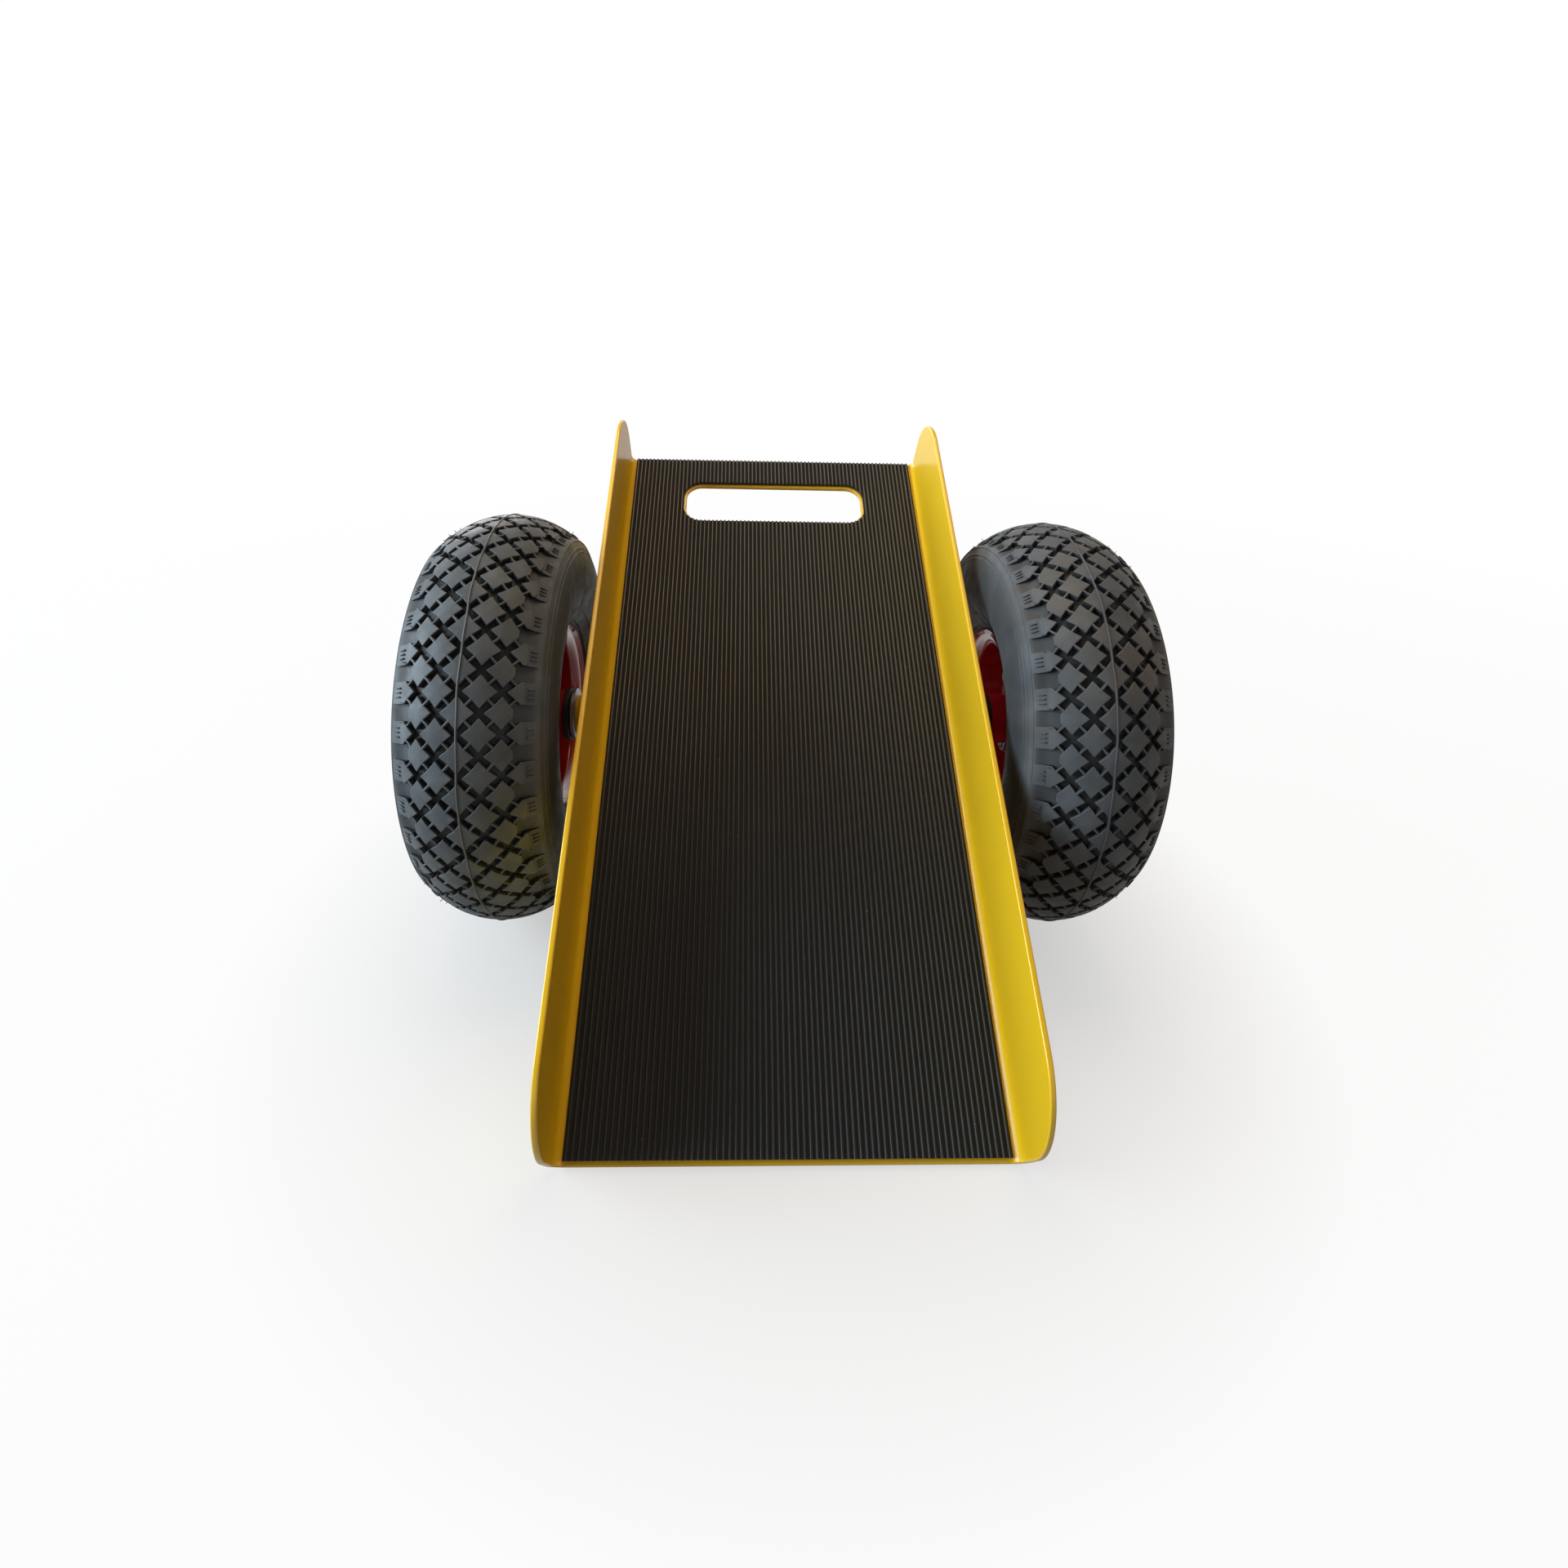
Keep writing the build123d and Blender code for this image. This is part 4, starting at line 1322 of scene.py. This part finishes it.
def lay_floor(s):
    """Pale floor that keeps the shadow and fades into the white round it."""
    bm = bmesh.new()
    bmesh.ops.create_circle(bm, cap_ends=True, segments=64, radius=FLOOR_RADIUS)
    made = to_object(to_mesh(bm, "floor"), "floor")
    f = Finish("Floor")
    path = f.add("ShaderNodeLightPath").outputs
    shine = f.calc("MULTIPLY", path["Is Glossy Ray"], s.floor_shine)
    seen = f.calc("MAXIMUM", path["Is Camera Ray"], shine)
    seen = f.calc("MAXIMUM", seen, path["Is Transmission Ray"])
    tint = f.mix(seen, (*tone(s.floor_colour, s.floor_bounce), 1), (*s.floor_colour, 1))
    far = f.add("ShaderNodeVectorMath", {0: f.place}, operation="LENGTH").outputs["Value"]
    near = f.remap(far, s.floor_shade, s.floor_white, FLOOR_UNDER, FLOOR_BESIDE)
    share = f.calc("MULTIPLY", seen, f.remap(far, near, 1.0, FLOOR_BESIDE, FLOOR_AWAY))
    diffuse = f.add("ShaderNodeBsdfDiffuse", {"Color": tint})
    glow = f.add("ShaderNodeEmission", {"Color": WHITE, "Strength": 1.0})
    mixed = f.add("ShaderNodeMixShader", {0: share, 1: diffuse.outputs[0], 2: glow.outputs[0]})
    f.put(f.tree.nodes["Material Output"], "Surface", mixed.outputs[0])
    made.data.materials.append(f.material)


def set_sky(s):
    """World: white where it is seen, darker above for glossy faces, and a soft warm grey where it lights."""
    world = bpy.data.worlds.new("studio")
    bpy.context.scene.world = world
    world.use_nodes = True
    n = Nodes(world.node_tree)
    path = n.add("ShaderNodeLightPath").outputs
    seen = n.calc("MAXIMUM", path["Is Camera Ray"], path["Is Glossy Ray"])
    seen = n.calc("MAXIMUM", seen, path["Is Transmission Ray"])
    place = n.add("ShaderNodeTexCoord").outputs["Generated"]
    direction = n.add("ShaderNodeSeparateXYZ", {0: place}).outputs
    height = n.remap(direction["Z"], 0.0, 1.0, math.sin(s.horizon), math.sin(s.zenith))
    back = n.remap(direction["Y"], 0.0, 1.0, *CEILING_SPAN)
    above = n.mix(back, (*tone(s.ceiling, s.ceiling_front), 1), (*s.ceiling, 1))
    room = n.mix(n.calc("MULTIPLY", height, path["Is Glossy Ray"]), WHITE, above)
    light = n.mix(seen, (*tone(s.ambient_tint, s.ambient), 1), room)
    n.put(n.tree.nodes["Background"], "Color", light)


def add_lamp(name, place, size, power, tint):
    """Soft square lamp aimed at the dolly."""
    data = bpy.data.lights.new(name, "AREA")
    data.energy = power
    data.size = size
    data.color = tint
    made = to_object(data, name)
    made.location = place
    aim = (CAD_BOX[0] + CAD_BOX[1]) / 2 - made.location
    made.rotation_euler = aim.to_track_quat("-Z", "Y").to_euler()


# Operators

class DOLLY_OT_stage(bpy.types.Operator):
    """Sets the camera, the soft light and the pale floor"""
    bl_idname = "dolly.stage"
    bl_label = "Stage"
    bl_options = {"REGISTER", "UNDO"}

    def execute(self, context):
        s = context.scene.dolly.stage
        set_camera(s)
        lay_floor(s)
        set_sky(s)
        for lamp in LAMPS:
            add_lamp(*lamp)
        context.scene.view_settings.view_transform = "Standard"
        return {"FINISHED"}


class DOLLY_OT_tray(bpy.types.Operator):
    """Folds the coated tray and finishes the axle tube with its welds"""
    bl_idname = "dolly.tray"
    bl_label = "Tray"
    bl_options = {"REGISTER", "UNDO"}

    def execute(self, context):
        s = context.scene.dolly.tray
        coat = powder_coat(s.coat)
        made = to_object(tray_mesh(s), "tray_sheet")
        add_modifier(made, "Sheet", "SOLIDIFY", thickness=s.sheet, offset=-1, use_even_offset=True)
        add_modifier(made, "Edges", "BEVEL", width=s.edge_rounding, segments=3, limit_method="ANGLE",
                     angle_limit=math.radians(40))
        bake(made)
        made.data.transform(TRAY)
        dress(shade(made, degrees=50), coat, "chassis", "yellow_coat", "tray")
        finish_node("axle_tube", coat)
        beads = scattered(weld_points(), bead_mesh(), "weld_beads", smallest=0.86, material=coat)
        beads.data.transform(AXLE)
        dress(shade(beads, degrees=60), coat, "chassis", "yellow_coat")
        return {"FINISHED"}


class DOLLY_OT_mat(bpy.types.Operator):
    """Lays the ribbed rubber mat"""
    bl_idname = "dolly.mat"
    bl_label = "Mat"
    bl_options = {"REGISTER", "UNDO"}

    def execute(self, context):
        s = context.scene.dolly.mat
        rubber = mat_rubber(s.rubber, s.dust_and_sheen)
        made = to_object(mat_mesh(s, context.scene.dolly.tray), "mat_ribs")
        made.data.transform(TRAY)
        dress(shade(made, degrees=50), rubber, "chassis", "mat_rubber", "ribbed_mat")
        return {"FINISHED"}


class DOLLY_OT_tyres(bpy.types.Operator):
    """Moulds both tyres with their block tread and nibs, and finishes the inner tubes"""
    bl_idname = "dolly.tyres"
    bl_label = "Tyres"
    bl_options = {"REGISTER", "UNDO"}

    def execute(self, context):
        s = context.scene.dolly.tyre
        rubber = tyre_rubber(s.rubber)
        tube = soft_black("Tube rubber", context.scene.dolly.wheel.seal, rough=0.5)
        tread = Tread(s)
        mesh = tyre_mesh(tread, rubber)
        for side in SIDES:
            made = to_object(mesh.copy(), side + "_tyre_tread")
            made.data.transform(wheel_frame(side))
            dress(shade(made, degrees=38), rubber, side + "_wheel", "tyre_rubber", side + "_tyre")
            nibs = scattered(nib_points(tread), nib_mesh(s), side + "_tyre_nibs", smallest=0.2,
                             material=rubber)
            nibs.data.transform(wheel_frame(side))
            dress(nibs, rubber, side + "_wheel", "tyre_rubber")
            finish_node(side + "_inner_tube", tube)
        return {"FINISHED"}


class DOLLY_OT_rims(bpy.types.Operator):
    """Finishes the enamelled rims and hubs"""
    bl_idname = "dolly.rims"
    bl_label = "Rims and hubs"
    bl_options = {"REGISTER", "UNDO"}

    def execute(self, context):
        red = enamel(context.scene.dolly.wheel.enamel)
        for side in SIDES:
            for node in ("rim_outer_half", "rim_inner_half", "hub"):
                finish_node(side + "_" + node, red)
        return {"FINISHED"}


class DOLLY_OT_fasteners(bpy.types.Operator):
    """Makes the bolts, nuts and washers of the rims, and finishes the washers and split pins of the axle"""
    bl_idname = "dolly.fasteners"
    bl_label = "Fasteners"
    bl_options = {"REGISTER", "UNDO"}

    def execute(self, context):
        s = context.scene.dolly.wheel
        zinc = bare_metal("Zinc plate", s.zinc, rough=0.36, stretch=(1, 1, 1))
        meshes = {"rim_bolts": bolt_mesh(s), "rim_nuts": nut_mesh(s), "rim_washers": washer_mesh(s)}
        for side in SIDES:
            for node, mesh in meshes.items():
                made = ring_of(mesh.copy(), side + "_" + node + "_set", s.bolts, zinc)
                made.data.transform(wheel_frame(side))
                dress(shade(made, degrees=25), zinc, side + "_wheel", "zinc_plate", side + "_" + node)
            for node in ("inner_washer", "outer_washer", "split_pin"):
                finish_node(side + "_" + node, zinc)
        return {"FINISHED"}


class DOLLY_OT_bearings(bpy.types.Operator):
    """Makes the hub seals, and finishes the axle, the rollers and their cages"""
    bl_idname = "dolly.bearings"
    bl_label = "Axle and bearings"
    bl_options = {"REGISTER", "UNDO"}

    def execute(self, context):
        s = context.scene.dolly.wheel
        steel = bare_metal("Turned steel", s.steel, rough=0.22, stretch=(1, 12, 12))
        rubber = soft_black("Seal rubber", s.seal, rough=0.45)
        plastic = soft_black("Cage plastic", s.seal, rough=0.35)
        mesh = seal_mesh()
        finish_node("axle", steel)
        for side in SIDES:
            finish_node(side + "_rollers", steel)
            finish_node(side + "_roller_cage", plastic)
            made = to_object(mesh.copy(), side + "_seal_lips")
            made.data.transform(wheel_frame(side))
            dress(shade(made, degrees=40), rubber, side + "_wheel", "seal_rubber", side + "_hub_seals")
        return {"FINISHED"}


class DOLLY_OT_valves(bpy.types.Operator):
    """Makes the ribbed valve caps and finishes the valve stems"""
    bl_idname = "dolly.valves"
    bl_label = "Valves"
    bl_options = {"REGISTER", "UNDO"}

    def execute(self, context):
        s = context.scene.dolly.wheel
        brass = bare_metal("Valve brass", s.brass, rough=0.25, stretch=(1, 1, 1))
        plastic = soft_black("Cap plastic", s.seal, rough=0.35)
        core, rib = cap_meshes()
        for side in SIDES:
            finish_node(side + "_valve_stem", brass)
            place = wheel_frame(side) @ valve_frame(s)
            made = to_object(core.copy(), side + "_cap_core")
            ribs = ring_of(rib.copy(), side + "_cap_ribs", s.cap_ribs, plastic)
            for piece in (made, ribs):
                piece.data.transform(place)
            dress(shade(made, degrees=40), plastic, side + "_wheel", "cap_plastic", side + "_valve_cap")
            dress(shade(ribs, degrees=40), plastic, side + "_wheel", "cap_plastic")
        return {"FINISHED"}


class DOLLY_PT_pieces(bpy.types.Panel):
    """Lists the dolly's pieces and settings"""
    bl_label = "Panel dolly"
    bl_space_type = "VIEW_3D"
    bl_region_type = "UI"
    bl_category = "Dolly"

    def draw(self, context):
        settings = context.scene.dolly
        for operator in OPERATORS:
            self.layout.operator(operator.bl_idname)
        for group in (settings.tray, settings.mat, settings.tyre, settings.wheel, settings.stage):
            box = self.layout.box()
            for name in group.__annotations__:
                box.prop(group, name)


GROUPS = (DollyTray, DollyMat, DollyTyre, DollyWheel, DollyStage, DollySettings)
OPERATORS = (DOLLY_OT_stage, DOLLY_OT_tray, DOLLY_OT_mat, DOLLY_OT_tyres, DOLLY_OT_rims,
             DOLLY_OT_fasteners, DOLLY_OT_bearings, DOLLY_OT_valves)
CLASSES = GROUPS + OPERATORS + (DOLLY_PT_pieces,)


def register():
    """Registers the classes and the settings."""
    for cls in CLASSES:
        bpy.utils.register_class(cls)
    bpy.types.Scene.dolly = PointerProperty(type=DollySettings)


def unregister():
    """Takes the settings and the classes out again."""
    del bpy.types.Scene.dolly
    for cls in reversed(CLASSES):
        bpy.utils.unregister_class(cls)


def main():
    """Makes the whole dolly."""
    register()
    bpy.ops.dolly.stage()
    bpy.ops.dolly.tray()
    bpy.ops.dolly.mat()
    bpy.ops.dolly.tyres()
    bpy.ops.dolly.rims()
    bpy.ops.dolly.fasteners()
    bpy.ops.dolly.bearings()
    bpy.ops.dolly.valves()


if __name__ == "__main__":
    main()
